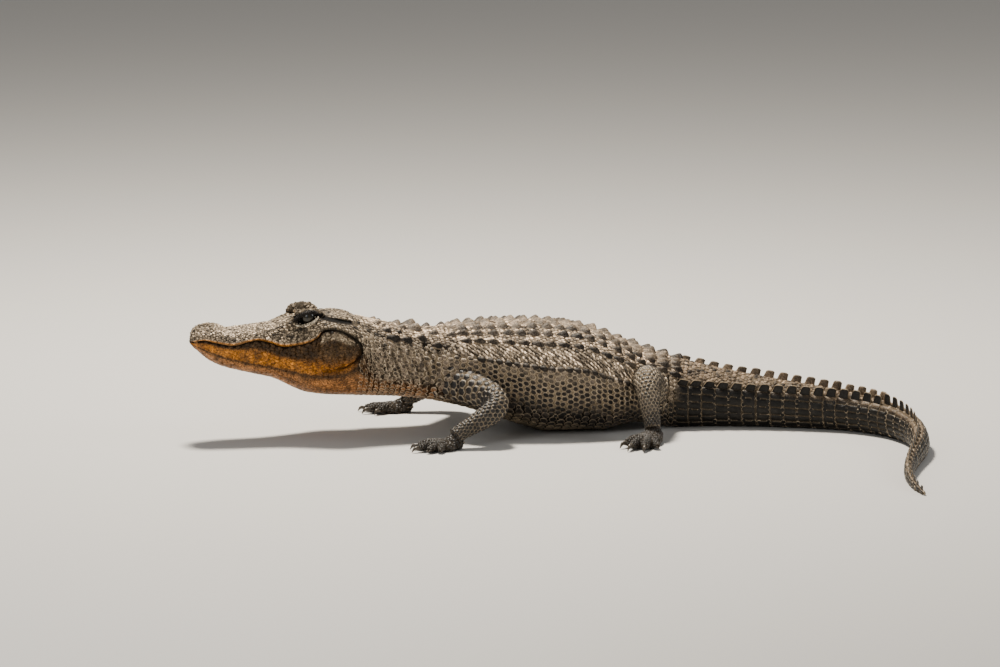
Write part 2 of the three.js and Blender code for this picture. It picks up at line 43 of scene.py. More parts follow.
mm = 0.001
rng = np.random.default_rng(11)

# The curves of the body, as on the solids: station in mm behind the snout tip, then the value


def profile(*pairs):
    at = np.array(pairs[0::2], float)
    value = np.array(pairs[1::2], float)
    rise = np.diff(value) / np.diff(at)
    before = np.concatenate([rise[:1], rise])
    after = np.concatenate([rise, rise[-1:]])
    steady = before * after > 0
    slope = np.where(steady, 2 * before * after / np.where(steady, before + after, 1), 0)

    def curve(s):
        s = np.clip(s, at[0], at[-1])
        i = np.clip(np.searchsorted(at, s, side="right") - 1, 0, len(at) - 2)
        span = at[i + 1] - at[i]
        t = (s - at[i]) / span
        start = value[i] * (1 + 2 * t) * (1 - t) ** 2 + slope[i] * span * t * (1 - t) ** 2
        end = value[i + 1] * t * t * (3 - 2 * t) + slope[i + 1] * span * t * t * (t - 1)
        return start + end

    return curve


trunk = {
    "snoutReach": 741,  # origin to the tip of the snout
    "headLength": 352,
    "length": 2150,
    "rollPivot": 40,  # height of the line that the hindquarters tilt about
    "coat": 2.0,  # the skin lies this deep inside the solids, under its scales
}
backHeight = profile(340, 250, 399, 236, 452, 224, 506, 217, 570, 221, 677, 224, 741, 222, 805, 214,
                     869, 195, 955, 158, 1065, 129, 1205, 106, 1380, 86, 1650, 62, 1950, 34, 2150, 9)
bellyHeight = profile(340, 82, 400, 80, 491, 70, 570, 52, 640, 28, 700, 8, 735, -2, 850, -3, 885, 8,
                      930, 15, 985, 8, 1050, -2, 2060, -2, 2150, 0)
halfWidth = profile(340, 98, 399, 94, 452, 92, 506, 100, 570, 118, 640, 141, 741, 160, 805, 162,
                    869, 155, 910, 138, 945, 116, 985, 98, 1035, 82, 1100, 67, 1205, 53, 1305, 44,
                    1500, 30, 1650, 22, 1800, 16, 1950, 11, 2150, 4)
waist = profile(340, 0.5, 506, 0.5, 741, 0.42, 1000, 0.42, 2150, 0.35)
squareness = profile(340, 2.3, 741, 2.4, 1000, 2.2, 2150, 2)
roll = profile(820, 0, 930, 8, 1000, 14, 1065, 19, 1300, 22, 1500, 15, 1800, 5, 2150, 0)
tailHeading = profile(900, 0, 990, -10, 1065, -18, 1205, -25, 1320, -31, 1400, -43, 1550, -76,
                      1700, -103, 1800, -113, 1900, -111, 2010, -100, 2150, -84)

roofHeight = profile(0, 214, 10, 224, 25, 231, 42, 234, 66, 231, 100, 234, 140, 238, 180, 243,
                     205, 249, 240, 256, 270, 260, 300, 261, 340, 255, 352, 247)
roofHalf = profile(0, 5, 20, 18, 60, 27, 120, 27, 200, 30, 250, 36, 290, 46, 352, 49)
lipHalf = profile(0, 14, 6, 25, 18, 36, 35, 44, 60, 50, 90, 52, 137, 52, 188, 62, 240, 80,
                  290, 93, 352, 98)
mouthHeight = profile(0, 207, 25, 213, 50, 208, 86, 202, 112, 208, 137, 212, 160, 207, 188, 198,
                      215, 202, 238, 208, 252, 216, 264, 228, 275, 234, 290, 234, 306, 230,
                      334, 213, 352, 200)
jawEdgeHeight = profile(0, 203, 25, 198, 70, 183, 135, 166, 195, 157, 255, 149, 305, 156, 352, 184)
throatHeight = profile(0, 198, 13, 189, 40, 166, 69, 152, 100, 143, 131, 135, 171, 125, 216, 103,
                       240, 93, 300, 85, 352, 82)
cheekFullness = profile(0, 2.2, 120, 2.2, 220, 1.5, 352, 1.35)

stationStep = 5.0
stationGrid = np.arange(0, trunk["length"] + 3 * stationStep, stationStep)
headingGrid = np.radians(tailHeading(stationGrid))
midX = np.concatenate([[0], np.cumsum(stationStep * np.cos(headingGrid))])[:-1] - trunk["snoutReach"]
midY = np.concatenate([[0], np.cumsum(stationStep * np.sin(headingGrid))])[:-1]


def smooth(value, low, high):
    t = np.clip((value - low) / (high - low), 0, 1)
    return t * t * (3 - 2 * t)


def power(value, exponent):
    return np.sign(value) * np.abs(value) ** exponent


def mix(first, second, share):
    return first + (second - first) * share


# Section of the neck, torso and tail: side is positive toward the right, the angle runs to the left
def bodySection(s, angle, grow):
    top = backHeight(s) + grow
    bottom = bellyHeight(s) - grow
    middle = bottom + waist(s) * (top - bottom)
    exponent = 2 / squareness(s)
    up = power(np.cos(angle), exponent)
    side = -power(np.sin(angle), exponent) * np.maximum(halfWidth(s) + grow, 0.6)
    return side, middle + up * np.where(up > 0, top - middle, middle - bottom)


mouth = {
    "roofShare": 0.16,  # shares of the way from crown to throat, where the head's parts meet
    "lipShare": 0.5,
    "grooveShare": 0.525,
    "jawShare": 0.55,
    "edgeShare": 0.7,
    "depth": 4.0,
    "gap": 2.4,
    "corner": 290,  # station of the corner of the mouth
    "overhang": 3.0,  # the upper lip stands out over the lower one
}


# Section of the head, with the groove of the closed mouth between the lips
def headSection(s, angle, grow):
    share = np.abs(angle) / math.pi
    lip = lipHalf(s) + grow
    roof = roofHalf(s)
    line = mouthHeight(s)
    height = roofHeight(s) + grow
    bend = 2 / cheekFullness(s)
    gap = mouth["gap"] / 2 * (1 - smooth(s, mouth["corner"] - 25, mouth["corner"]))

    t = np.clip(share / mouth["roofShare"], 0, 1)
    side = roof * t
    rise = height - 2 * t * t

    t = np.clip((share - mouth["roofShare"]) / (mouth["lipShare"] - mouth["roofShare"]), 0, 1)
    turn = (1 - t) * math.pi / 2
    cheek = share > mouth["roofShare"]
    side = np.where(cheek, roof + (lip - roof) * np.cos(turn) ** bend, side)
    rise = np.where(cheek, line + gap + (height - 2 - line - gap) * np.sin(turn) ** bend, rise)

    depth = mouth["depth"] * (1 - smooth(s, mouth["corner"] - 25, mouth["corner"]))
    jaw = lip - mouth["overhang"] * (1 - smooth(s, 235, 265))
    groove = share > mouth["lipShare"]
    t = np.clip((share - mouth["lipShare"]) / (mouth["grooveShare"] - mouth["lipShare"]), 0, 1)
    side = np.where(groove, lip - depth * t, side)
    rise = np.where(groove, line + gap * (1 - t), rise)
    inner = share > mouth["grooveShare"]
    t = np.clip((share - mouth["grooveShare"]) / (mouth["jawShare"] - mouth["grooveShare"]), 0, 1)
    side = np.where(inner, mix(lip - depth, jaw, t), side)
    rise = np.where(inner, line - gap * t, rise)

    top = line - gap
    edge = np.minimum(jawEdgeHeight(s), top - 2)
    bottom = np.minimum(throatHeight(s), edge - 2) - grow
    flank = share > mouth["jawShare"]
    t = np.clip((share - mouth["jawShare"]) / (mouth["edgeShare"] - mouth["jawShare"]), 0, 1)
    side = np.where(flank, jaw * (1 - 0.05 * t * t) + 1.5 * np.sin(math.pi * t), side)
    rise = np.where(flank, mix(top, edge, t), rise)

    under = share > mouth["edgeShare"]
    t = np.clip((share - mouth["edgeShare"]) / (1 - mouth["edgeShare"]), 0, 1) * math.pi / 2
    side = np.where(under, jaw * 0.95 * np.abs(np.cos(t)) ** 0.9, side)
    rise = np.where(under, edge - (edge - bottom) * np.sin(t) ** 0.9, rise)
    return -np.sign(angle) * side, rise


# Pushes points out over an ellipsoid along rays from a seat inside it, with a soft join
def swell(points, centre, radii, tilt, seat, blend):
    turn = np.array(Matrix.Rotation(math.radians(tilt), 3, "Y"))
    origin = np.array(centre) + np.array(seat)
    ray = points - origin
    a = ray @ turn / radii
    b = np.array(seat) @ turn / radii
    square = np.maximum((a * a).sum(1), 1e-9)
    cross = (a * b).sum(1)
    reach = (-cross + np.sqrt(cross * cross - square * ((b * b).sum() - 1))) / square
    lift = 0.5 * (reach - 1 + np.sqrt((reach - 1) ** 2 + blend * blend)) * smooth(reach, 0.35, 0.8)
    return origin + ray * (1 + lift)[:, None]


eye = {
    "station": 241, "side": 43, "height": 257,
    "opening": (23, 14, 11), "tilt": -20, "out": 16, "forward": 4, "drop": 3,
}
nostril = {"station": 34, "side": 11, "length": 8, "width": 4.2, "depth": 4}
ear = {"behind": 58, "below": 7, "half": 34, "drop": 6, "height": 3.4, "depth": 9}
crease = {  # fold round the rear of the jaw, as (station, height), from the corner of the mouth
    "line": ((262, 227), (268, 233), (278, 235), (290, 234), (306, 230), (322, 221), (334, 213), (345, 201),
             (348, 190), (344, 180), (327, 165), (310, 156), (292, 150), (270, 147)),
    "depth": 4.0, "width": 3.4,
}


# Distance to that fold, and whether a point lies inside it
def creaseField(s, z):
    line = np.array(crease["line"], float)
    nearest = np.full(len(s), 1e9)
    for start, end in zip(line, line[1:]):
        along = end - start
        t = np.clip(((s - start[0]) * along[0] + (z - start[1]) * along[1]) / (along @ along), 0, 1)
        nearest = np.minimum(nearest, np.hypot(s - start[0] - t * along[0], z - start[1] - t * along[1]))
    inside = np.zeros(len(s), bool)
    for start, end in zip(line, np.roll(line, -1, axis=0)):
        crosses = (start[1] > z) != (end[1] > z)
        reach = (z - start[1]) * (end[0] - start[0]) / (end[1] - start[1])
        inside ^= crosses & (s < start[0] + reach)
    return nearest, inside


# Places round an eye, in units of half the opening of its lids
def lidPlace(s, z):
    tilt = math.radians(eye["tilt"])
    ahead = s - eye["station"] + eye["forward"]
    above = z - eye["height"] + eye["drop"]
    long = (ahead * math.cos(tilt) - above * math.sin(tilt)) / eye["opening"][0]
    high = (ahead * math.sin(tilt) + above * math.cos(tilt)) / eye["opening"][2]
    return long, high


# Places along an ear slit in units of its half length, and their height over it in mm
def earPlace(s, z):
    along = (s - eye["station"] - ear["behind"]) / ear["half"]
    return along, z - eye["height"] + ear["below"] + ear["drop"] * along


def nostrilPlace(s, y):
    # zero at the middle of the nearer nostril, one at its rim
    middle = nostril["side"] - 0.02 * (s - nostril["station"]) ** 2
    return np.hypot((s - nostril["station"]) / nostril["length"], (np.abs(y) - middle) / nostril["width"])


# Brows, snout ridges, jaw muscles, nostrils, sockets and ears, on points as (station, side, height)
def headForms(points):
    for way in (-1, 1):
        x, y, z = eye["station"], eye["side"] * way, eye["height"]
        points = swell(points, (x + 2, y - way, z - 2.5), (32, 17, 19.5), 4, (0, -5 * way, -8), 0.16)
        points = swell(points, (x - 30, y - 6 * way, z - 19), (49, 13, 14), -22, (0, -4 * way, -5), 0.22)
        points = swell(points, (300, 76 * way, 191), (53, 25, 43), -6, (0, -12 * way, 0), 0.05)
    points = swell(points, (41, 0, roofHeight(43) - 6), (31, 27, 15), 0, (0, 0, -9), 0.5)
    s, y, z = points.T
    way = np.sign(y)
    long, high = lidPlace(s, z)
    flat = long ** 2 + high ** 2
    socket = (flat < 1) & (np.abs(y) > 30)
    depth = eye["opening"][1] * np.sqrt(np.clip(1 - flat, 0, 1))
    beside = np.where(socket, eye["side"] + eye["out"] - depth, np.abs(y))
    along, over = earPlace(s, z)
    slit = np.exp(-(over / ear["height"]) ** 2) * np.clip(1 - along ** 2, 0, 1) ** 0.5
    beside = beside - ear["depth"] * slit * (beside > 35)
    away = creaseField(s, z)[0]
    beside = beside - crease["depth"] * np.exp(-(away / crease["width"]) ** 2) * (beside > 50)
    sunk = nostril["depth"] * np.exp(-1.6 * nostrilPlace(s, y) ** 2) * (z > 222)
    return np.stack([s, way * beside, z - sunk], 1)


folds = {"depth": 5.5, "pitch": 19, "start": 370, "end": 540}


# A point of the hide: station in mm, angle in radians from the crown toward the left side
def hidePoint(s, angle, grow=0.0):
    s = np.asarray(s, float).ravel()
    angle = np.asarray(angle, float).ravel()
    grow = grow - trunk["coat"]
    headLength = trunk["headLength"]
    share = smooth(s, headLength - 30, headLength + 35)
    headSide, headRise = headSection(np.minimum(s, headLength), angle, grow)
    bodySide, bodyRise = bodySection(np.maximum(s, 340), angle, grow)
    side = mix(headSide, bodySide, share)
    rise = mix(headRise, bodyRise, share)
    low = np.sin(np.abs(angle)) ** 2
    onward = s + 26 * np.cos(angle) + 5 * np.sin(3 * angle + s / 40)  # the folds slant and waver
    wave = np.sin(2 * math.pi * onward / folds["pitch"])
    wrinkle = smooth(s, folds["start"], folds["start"] + 30)
    wrinkle = wrinkle * (1 - smooth(s, folds["end"] - 60, folds["end"]))
    shrink = 1 - folds["depth"] * wrinkle * low * np.clip(wave, -0.3, 1) / 100
    side = side * shrink
    blunt = np.sqrt(np.clip(1 - (1 - np.clip(s / 12, 0, 1)) ** 2, 0, 1))  # rounds off the snout tip
    blunt = blunt * np.sqrt(np.clip(1 - ((np.clip(s - 2135, 0, 15)) / 15) ** 2, 0, 1))
    middle = np.where(s < 100, 207, (backHeight(s) + bellyHeight(s)) / 2)
    side = side * blunt
    rise = middle + (rise - middle) * blunt
    onHead = s < headLength + 40
    if onHead.any():
        shaped = headForms(np.stack([s, side, rise], 1)[onHead])
        s = s.copy()
        s[onHead], side[onHead], rise[onHead] = shaped.T
    tilt = np.radians(roll(s))
    rise = rise - trunk["rollPivot"]
    across = side * np.cos(tilt) - rise * np.sin(tilt)
    z = trunk["rollPivot"] + rise * np.cos(tilt) + side * np.sin(tilt)
    heading = np.interp(s, stationGrid, headingGrid)
    x = np.interp(s, stationGrid, midX) - across * np.sin(heading)
    y = np.interp(s, stationGrid, midY) + across * np.cos(heading)
    x = np.where(s < 0, s - trunk["snoutReach"], x)
    return np.stack([x, y, np.maximum(z, 0.3)], 1) * mm


# Legs: joints in mm, as on the solids, and the radius at even steps from shoulder to wrist. A toe has its
# spread in degrees from the paw's heading, its reach, its radius and the length of its claw, or 0.
legs = {
    "fore": {
        "joints": ((-212, -62, 122), (-132, -186, 84), (-228, -214, 26)), "rightShift": (0, -12, -22),
        "radii": (40, 36, 31, 28, 24, 19, 17),
        "palm": (30, 28, 15), "heading": 192, "rise": 9, "web": 0.42, "heel": (22, 20, 19),
        "toes": ((-50, 40, 8.5, 12), (-23, 50, 8.5, 13), (3, 54, 8, 13), (29, 50, 7, 0), (56, 40, 6.5, 0)),
    },
    "hind": {
        "joints": ((232, -41, 60), (192, -163, 112), (190, -222, 27)), "rightShift": (0, 12, 26),
        "radii": (42, 40, 36, 31, 26, 21, 18),
        "palm": (40, 29, 17), "heading": 238, "rise": 10, "web": 0.7, "heel": (24, 22, 20),
        "toes": ((-30, 56, 9.5, 15), (-8, 72, 9.5, 16), (13, 74, 9, 16), (35, 62, 7.5, 0)),
    },
}


# Smooth curve through three or four points, evenly shared between them, with its direction
def bentCurve(points):
    knots = [np.array(p, float) for p in points]
    knots = [2 * knots[0] - knots[1]] + knots + [2 * knots[-1] - knots[-2]]

    def curve(t):
        t = np.asarray(t, float).ravel()
        place = np.clip(t, 0, 1) * (len(knots) - 3)
        first = np.minimum(place.astype(int), len(knots) - 4)
        weight = place - first
        spread = np.array(knots)
        p = [spread[first + k] for k in range(4)]
        gap = [np.linalg.norm(p[k + 1] - p[k], axis=1)[:, None] ** 0.5 for k in range(3)]
        start = ((p[1] - p[0]) / gap[0] - (p[2] - p[0]) / (gap[0] + gap[1]) + (p[2] - p[1]) / gap[1]) * gap[1]
        end = ((p[2] - p[1]) / gap[1] - (p[3] - p[1]) / (gap[1] + gap[2]) + (p[3] - p[2]) / gap[2]) * gap[1]
        w = weight[:, None]
        cubic = 2 * p[1] - 2 * p[2] + start + end
        square = -3 * p[1] + 3 * p[2] - 2 * start - end
        point = p[1] + start * w + square * w ** 2 + cubic * w ** 3
        along = start + 2 * square * w + 3 * cubic * w ** 2
        return point, along / np.linalg.norm(along, axis=1)[:, None]

    return curve


# Surface of a round bent form: t from its start to its end, angle round it from its upper side
def tubeSurface(curve, radii, flatness=1.0, grow=0.0, closeStart=0.0, closeEnd=0.0):
    def point(t, angle, lift=0.0):
        t = np.asarray(t, float).ravel()
        angle = np.asarray(angle, float).ravel()
        centre, along = curve(t)
        sideways = np.cross(np.array([0, 0, 1.0]), along)
        sideways /= np.linalg.norm(sideways, axis=1)[:, None]
        upward = np.cross(along, sideways)
        radius = np.interp(t * (len(radii) - 1), np.arange(len(radii)), radii) + grow
        if closeEnd:
            radius = radius * np.sqrt(np.clip(1 - (np.clip(t - 1 + closeEnd, 0, 1) / closeEnd) ** 2, 0, 1))
        if closeStart:
            radius = radius * np.sqrt(np.clip(1 - (np.clip(closeStart - t, 0, 1) / closeStart) ** 2, 0, 1))
        radius = (radius + lift)[:, None]
        place = centre + sideways * radius * flatness * np.sin(angle)[:, None]
        place = place + upward * radius * np.cos(angle)[:, None]
        place[:, 2] = np.maximum(place[:, 2], 0.3)
        return place * mm

    return point


# Mesh helpers


def sheetMesh(columns, rows, place):
    # a grid whose points are moved to place(u, v), welded and closed
    bm = bmesh.new()
    bmesh.ops.create_grid(bm, x_segments=columns, y_segments=rows, size=1)
    flat = np.array([v.co[:2] for v in bm.verts]) * 0.5 + 0.5
    for vertex, point in zip(bm.verts, place(flat[:, 0], flat[:, 1]).tolist()):
        vertex.co = point
    bmesh.ops.remove_doubles(bm, verts=bm.verts, dist=2e-5)
    gaps = [e for e in bm.edges if e.is_boundary]
    if gaps:
        bmesh.ops.holes_fill(bm, edges=gaps, sides=0)
    bmesh.ops.recalc_face_normals(bm, faces=bm.faces)
    return bm


def newObject(name, bm):
    mesh = bpy.data.meshes.new(name)
    bm.to_mesh(mesh)
    bm.free()
    mesh.shade_smooth()
    piece = bpy.data.objects.new(name, mesh)
    bpy.context.scene.collection.objects.link(piece)
    return piece


def applied(piece):
    # the mesh with its modifiers worked in
    graph = bpy.context.evaluated_depsgraph_get()
    mesh = bpy.data.meshes.new_from_object(piece.evaluated_get(graph))
    piece.modifiers.clear()
    old = piece.data
    piece.data = mesh
    bpy.data.meshes.remove(old)
    return piece


def discard(piece):
    mesh = piece.data
    bpy.data.objects.remove(piece)
    bpy.data.meshes.remove(mesh)


def points(piece):
    co = np.zeros(len(piece.data.vertices) * 3, np.float32)
    piece.data.vertices.foreach_get("co", co)
    return co.reshape(-1, 3)


def relax(bm, verts, passes):
    for _ in range(passes):
        bmesh.ops.smooth_vert(bm, verts=verts, factor=0.5, use_axis_x=True, use_axis_y=True, use_axis_z=True)


def searchTree(spots):
    tree = KDTree(len(spots))
    for i, co in enumerate(spots):
        tree.insert(co, i)
    tree.balance()
    return tree


# Skin

skin = {
    "headColumns": 190, "bodyColumns": 130, "tailColumns": 104, "around": 160,
    "voxel": 2.95, "weld": 12, "passes": 6,
}


def stationOf(u):
    counts = [0, skin["headColumns"], skin["bodyColumns"], skin["tailColumns"]]
    marks = np.cumsum(counts) / sum(counts)
    return np.interp(u, marks, [0, trunk["headLength"], 1050, trunk["length"]])


def legParts(kind, way):
    # one leg: the surface of its limb, the places of wrist and palm, and each toe with its surface
    data = legs[kind]
    shift = data["rightShift"] if way > 0 else (0, 0, 0)
    joints = [(x + shift[i], y * -way, z) for i, (x, y, z) in enumerate(data["joints"])]
    limb = tubeSurface(bentCurve(joints), data["radii"], 0.9, -1.6, 0.04, 0.015)
    heading = math.radians(data["heading"]) * -way
    forward = np.array([math.cos(heading), math.sin(heading), 0])
    palm = np.array([joints[2][0], joints[2][1], 0]) + forward * data["palm"][0] * 0.7
    arch = ((0, 1.5), (0.5, 1.6), (1, 0.95))  # a toe's height along its reach, in radii
    toes = []
    for spread, reach, radius, claw in data["toes"]:
        turn = heading + math.radians(spread) * -way
        out = np.array([math.cos(turn), math.sin(turn), 0])
        start = palm + out * 8
        path = [start + out * reach * k + np.array([0, 0, radius * h]) for k, h in arch]
        girth = [radius * k for k in (1.25, 1.05, 1.12, 0.8)]
        toes.append({
            "radius": radius, "out": out, "start": start, "reach": reach, "claw": claw,
            "surface": tubeSurface(bentCurve(path), girth, 1.0, -0.8, 0.1, 0.16),
        })
    return {
        "limb": limb, "palm": palm, "wrist": joints[2], "forward": forward, "heading": heading,
        "toes": toes, "data": data,
    }


def legMesh(kind, way):
    parts = legParts(kind, way)
    data = parts["data"]
    bm = sheetMesh(70, 40, lambda u, v: parts["limb"](u, v * 2 * math.pi))
    for radii, spot in (
        (data["palm"], (*parts["palm"][:2], data["rise"])),
        (data["heel"], (*parts["wrist"][:2], 13)),
    ):
        ball = bmesh.ops.create_uvsphere(bm, u_segments=32, v_segments=20, radius=1)["verts"]
        place = Matrix.Translation(Vector(spot) * mm) @ Matrix.Rotation(parts["heading"], 4, "Z")
        place = place @ Matrix.Diagonal((*[(k - 1) * mm for k in radii], 1))
        bmesh.ops.transform(bm, matrix=place, verts=ball)
    for toe in parts["toes"]:
        form = sheetMesh(24, 18, lambda u, v: toe["surface"](u, v * 2 * math.pi))
        mesh = bpy.data.meshes.new("toe")
        form.to_mesh(mesh)
        form.free()
        bm.from_mesh(mesh)
        bpy.data.meshes.remove(mesh)
    for before, after in zip(parts["toes"], parts["toes"][1:]):
        web = []
        for toe in (before, after):
            for far in (0.2, data["web"]):
                for high in (1.2, 5.0 - 2 * far):
                    spot = toe["start"] + toe["out"] * toe["reach"] * far
                    web.append(bm.verts.new((spot[0] * mm, spot[1] * mm, high * mm)))
        bmesh.ops.convex_hull(bm, input=web)
    for vertex in bm.verts:
        vertex.co.z = max(vertex.co.z, 0.3 * mm)
    piece = newObject("leg", bm)
    remesh = piece.modifiers.new("voxels", "REMESH")
    remesh.mode = "VOXEL"
    remesh.voxel_size = skin["voxel"] * mm
    applied(piece)
    bm = bmesh.new()
    bm.from_mesh(piece.data)
    relax(bm, bm.verts, 4)
    bm.to_mesh(piece.data)
    bm.free()
    return piece


def makeSkin():
    bm = sheetMesh(skin["headColumns"] + skin["bodyColumns"] + skin["tailColumns"], skin["around"],
                   lambda u, v: hidePoint(stationOf(u), (v - 0.5) * 2 * math.pi))
    body = newObject("hide", bm)
    originals = [points(body)]
    for kind in ("fore", "hind"):
        for way in (-1, 1):
            leg = legMesh(kind, way)
            originals.append(points(leg))
            union = body.modifiers.new("leg", "BOOLEAN")
            union.operation = "UNION"
            union.solver = "MANIFOLD"
            union.object = leg
            applied(body)
            discard(leg)
    tree = searchTree(np.concatenate(originals).tolist())
    bm = bmesh.new()
    bm.from_mesh(body.data)
    joins = [v.co.copy() for v in bm.verts if tree.find(v.co)[2] > 4e-6]
    near = searchTree(joins + [(9, 9, 9)])  # a far point keeps the tree from being empty
    soft = [v for v in bm.verts if near.find(v.co)[2] < skin["weld"] * mm]
    relax(bm, soft, skin["passes"])
    for vertex in bm.verts:
        vertex.co.z = max(vertex.co.z, 0.0)
    bm.to_mesh(body.data)
    bm.free()
    body.data.shade_smooth()
    print("skin:", len(body.data.polygons), "faces,", len(joins), "points where the legs join")
    return body


hide = makeSkin()
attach(hide, "root")
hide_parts(*[n for n in nodeNames if not n.startswith("eye")])


# Scale forms, one unit long and wide, and one high above the skin


def pebbleForm(sides, square, fine):
    # a low dome on a many-sided or squarish base
    bm = bmesh.new()
    bmesh.ops.create_cone(bm, cap_ends=True, segments=sides, radius1=0.5, radius2=0.5, depth=1,
                          matrix=Matrix.Rotation(math.pi / sides, 4, "Z"))
    top = [f for f in bm.faces if f.normal.z > 0.9]
    for thickness in ((0.09, 0.16) if fine else (0.13,)):
        bmesh.ops.inset_region(bm, faces=top, thickness=thickness, use_even_offset=True)
    bmesh.ops.poke(bm, faces=top)
    for vertex in bm.verts:
        x, y, z = vertex.co
        radius = math.hypot(x, y) * 2
        stretch = 1.0
        if radius > 0.01:
            stretch = (1 / max(abs(x), abs(y)) * radius / 2) ** square
        level = -0.6 if z < 0 else 0.25 + 0.75 * (1 - min(radius, 1) ** 2.6)
        vertex.co = (x * stretch, y * stretch, level)
    return formData(bm)


def plateForm(cuts, ridge):
    # an oval shield with a keel that rises toward its rear end, its foot pale and the keel's edge paler,
    # partly as wear and partly as a painted highlight
    bm = bmesh.new()
    bmesh.ops.create_cube(bm, size=1)
    bmesh.ops.subdivide_edges(bm, edges=bm.edges, cuts=cuts, use_grid_fill=True)
    rim = []
    for vertex in bm.verts:
        x, y, z = vertex.co
        level = z + 0.5
        across, along = y * math.sqrt(1 - 1.3 * x * x), x * math.sqrt(1 - 1.3 * y * y)
        dome = (1 - abs(2 * x) ** 3) * (1 - abs(2 * y) ** 3)
        keel = math.exp(-(abs(2 * y) / 0.4) ** 1.3)
        crest = 0.25 + 0.75 * float(smooth(x, -0.5, 0.15))
        crest = crest * (1 - float(smooth(x, 0.22, 0.5)) * 0.85)
        top = 0.04 + 0.2 * max(dome, 0) ** 0.7 + ridge * keel * crest
        # the keel's top line is paler, partly as wear and partly as a painted highlight
        wornAndLit = 1 - 0.3 * float(smooth(keel, 0.92, 1))
        rim.append(1 - 0.98 * float(smooth(keel * crest, 0.02, 0.16)) * wornAndLit)
        vertex.co = (along, across, -0.4 * (1 - level) + top * level)
    return formData(bm, rim)


def lobeForm(cuts):
    # an upright lobe of the tail crest that leans back, thick at its foot and pale along its edge, a painted
    # highlight as of light from behind
    bm = bmesh.new()
    bmesh.ops.create_cube(bm, size=1)
    bmesh.ops.subdivide_edges(bm, edges=bm.edges, cuts=cuts, use_grid_fill=True)
    rim = []
    for vertex in bm.verts:
        x, y, z = vertex.co
        level = z + 0.5
        top = 1 - 0.7 * abs(2 * (x - 0.08) / 1.16) ** 4.5
        thin = (1 - 0.8 * level) * (1 - 0.35 * abs(2 * x) ** 4)
        height = -0.35 + (top + 0.35) * level
        rim.append(max(abs(2 * x) ** 3, float(smooth(level, 0.72, 1)), 1 - level * 4))
        vertex.co = (x * (1 - 0.08 * level) + 0.12 * level * level, y * thin, height)
    return formData(bm, rim)


def formData(bm, rim=None):
    bmesh.ops.recalc_face_normals(bm, faces=bm.faces)
    bm.verts.index_update()
    spots = np.array([v.co[:] for v in bm.verts])
    spots[:, :2] /= np.abs(spots[:, :2]).max(0) * 2
    if rim is None:
        level = np.clip((spots[:, 2] - 0.25) / 0.75, 0, 1)
        rim = np.where(spots[:, 2] < 0, 1, (1 - level) ** (1 / 2.6))
    data = {
        "spots": spots, "rim": np.array(rim),
        "corners": np.array([l.vert.index for f in bm.faces for l in f.loops]),
        "sizes": np.array([len(f.loops) for f in bm.faces]),
    }
    bm.free()
    return data


skinTree = BVHTree.FromObject(hide, bpy.context.evaluated_depsgraph_get())
buried = 0.012  # roots that lie deeper than this under the skin, as inside a leg, are left out
placed = []  # roots of all scales set so far, with half their size
patchSize = 0.003  # of one scale in the OFBake map


# How far under the finished skin each root lies, where legs and body flow together
def settle(root, normal):
    depth = np.zeros(len(root))
    for i, (spot, out) in enumerate(zip(root.tolist(), normal.tolist())):
        out = Vector(out)
        hit = skinTree.ray_cast(Vector(spot) + out * 0.0006, out, 0.06)
        if hit[0] is not None and hit[1].dot(out) > 0:
            depth[i] = hit[3] + 0.0006
    return depth


# Sets many copies of a form on a surface as one mesh. Each copy follows the surface along its own
# length and width, and its patch in the OFBake map lies where its root is on the unrolled skin.
def coat(name, form, surface, roots, size, colours, twist=None, upright=0.0):
    s, angle = roots
    count = len(s)
    length, width, height = [np.broadcast_to(np.asarray(k, float), count) for k in size]
    along = surface["step"]
    turn = 0.02
    root = surface["point"](s, angle)
    across = surface["point"](s, angle + turn) - surface["point"](s, angle - turn)
    onward = surface["point"](s + along, angle) - surface["point"](s - along, angle)
    girth = np.maximum(np.linalg.norm(across, axis=1) / (2 * turn), 1e-5)
    stride = np.maximum(np.linalg.norm(onward, axis=1) / (2 * along), 1e-9)
    normal = np.cross(onward, across) * surface["hand"]
    normal /= np.maximum(np.linalg.norm(normal, axis=1), 1e-12)[:, None]
    lift = normal * (1 - upright) + np.array([0, 0, 1.0]) * upright
    lift /= np.linalg.norm(lift, axis=1)[:, None]
    a = form["spots"][:, 0][None, :] * length[:, None] * mm
    b = form["spots"][:, 1][None, :] * width[:, None] * mm
    if twist is not None:
        cos, sin = np.cos(twist)[:, None], np.sin(twist)[:, None]
        a, b = a * cos - b * sin, a * sin + b * cos
    where = (s[:, None] + a / stride[:, None]).ravel()
    around = (angle[:, None] + b / girth[:, None]).ravel()
    spots = surface["point"](where, around).reshape(count, -1, 3)
    spots = spots + lift[:, None, :] * (form["spots"][:, 2][None, :] * height[:, None] * mm)[:, :, None]
    depth = settle(root, normal)
    reach = np.linalg.norm(spots - root[:, None, :], axis=2).max(1)
    limit = (1.05 * np.hypot(length, width) + height) * mm
    keep = (depth < buried) & (reach < limit)  # none that is torn at a sharp bend
    raised = normal * depth[:, None]
    spots = spots + raised[:, None, :]
    placed.append(((root + raised)[keep], np.sqrt(length * width)[keep] * mm / 2))
    spots, s, angle = spots[keep], s[keep], angle[keep]
    where = where.reshape(count, -1)[keep].ravel()
    around = around.reshape(count, -1)[keep].ravel()
    place = np.stack([(k - k.min()) / max(np.ptp(k), 1e-6) for k in (s, angle)], 1)
    tone = np.repeat(rng.random(len(s)), len(form["spots"]))
    return joined(name, form, spots, place, colours(where, around), tone)


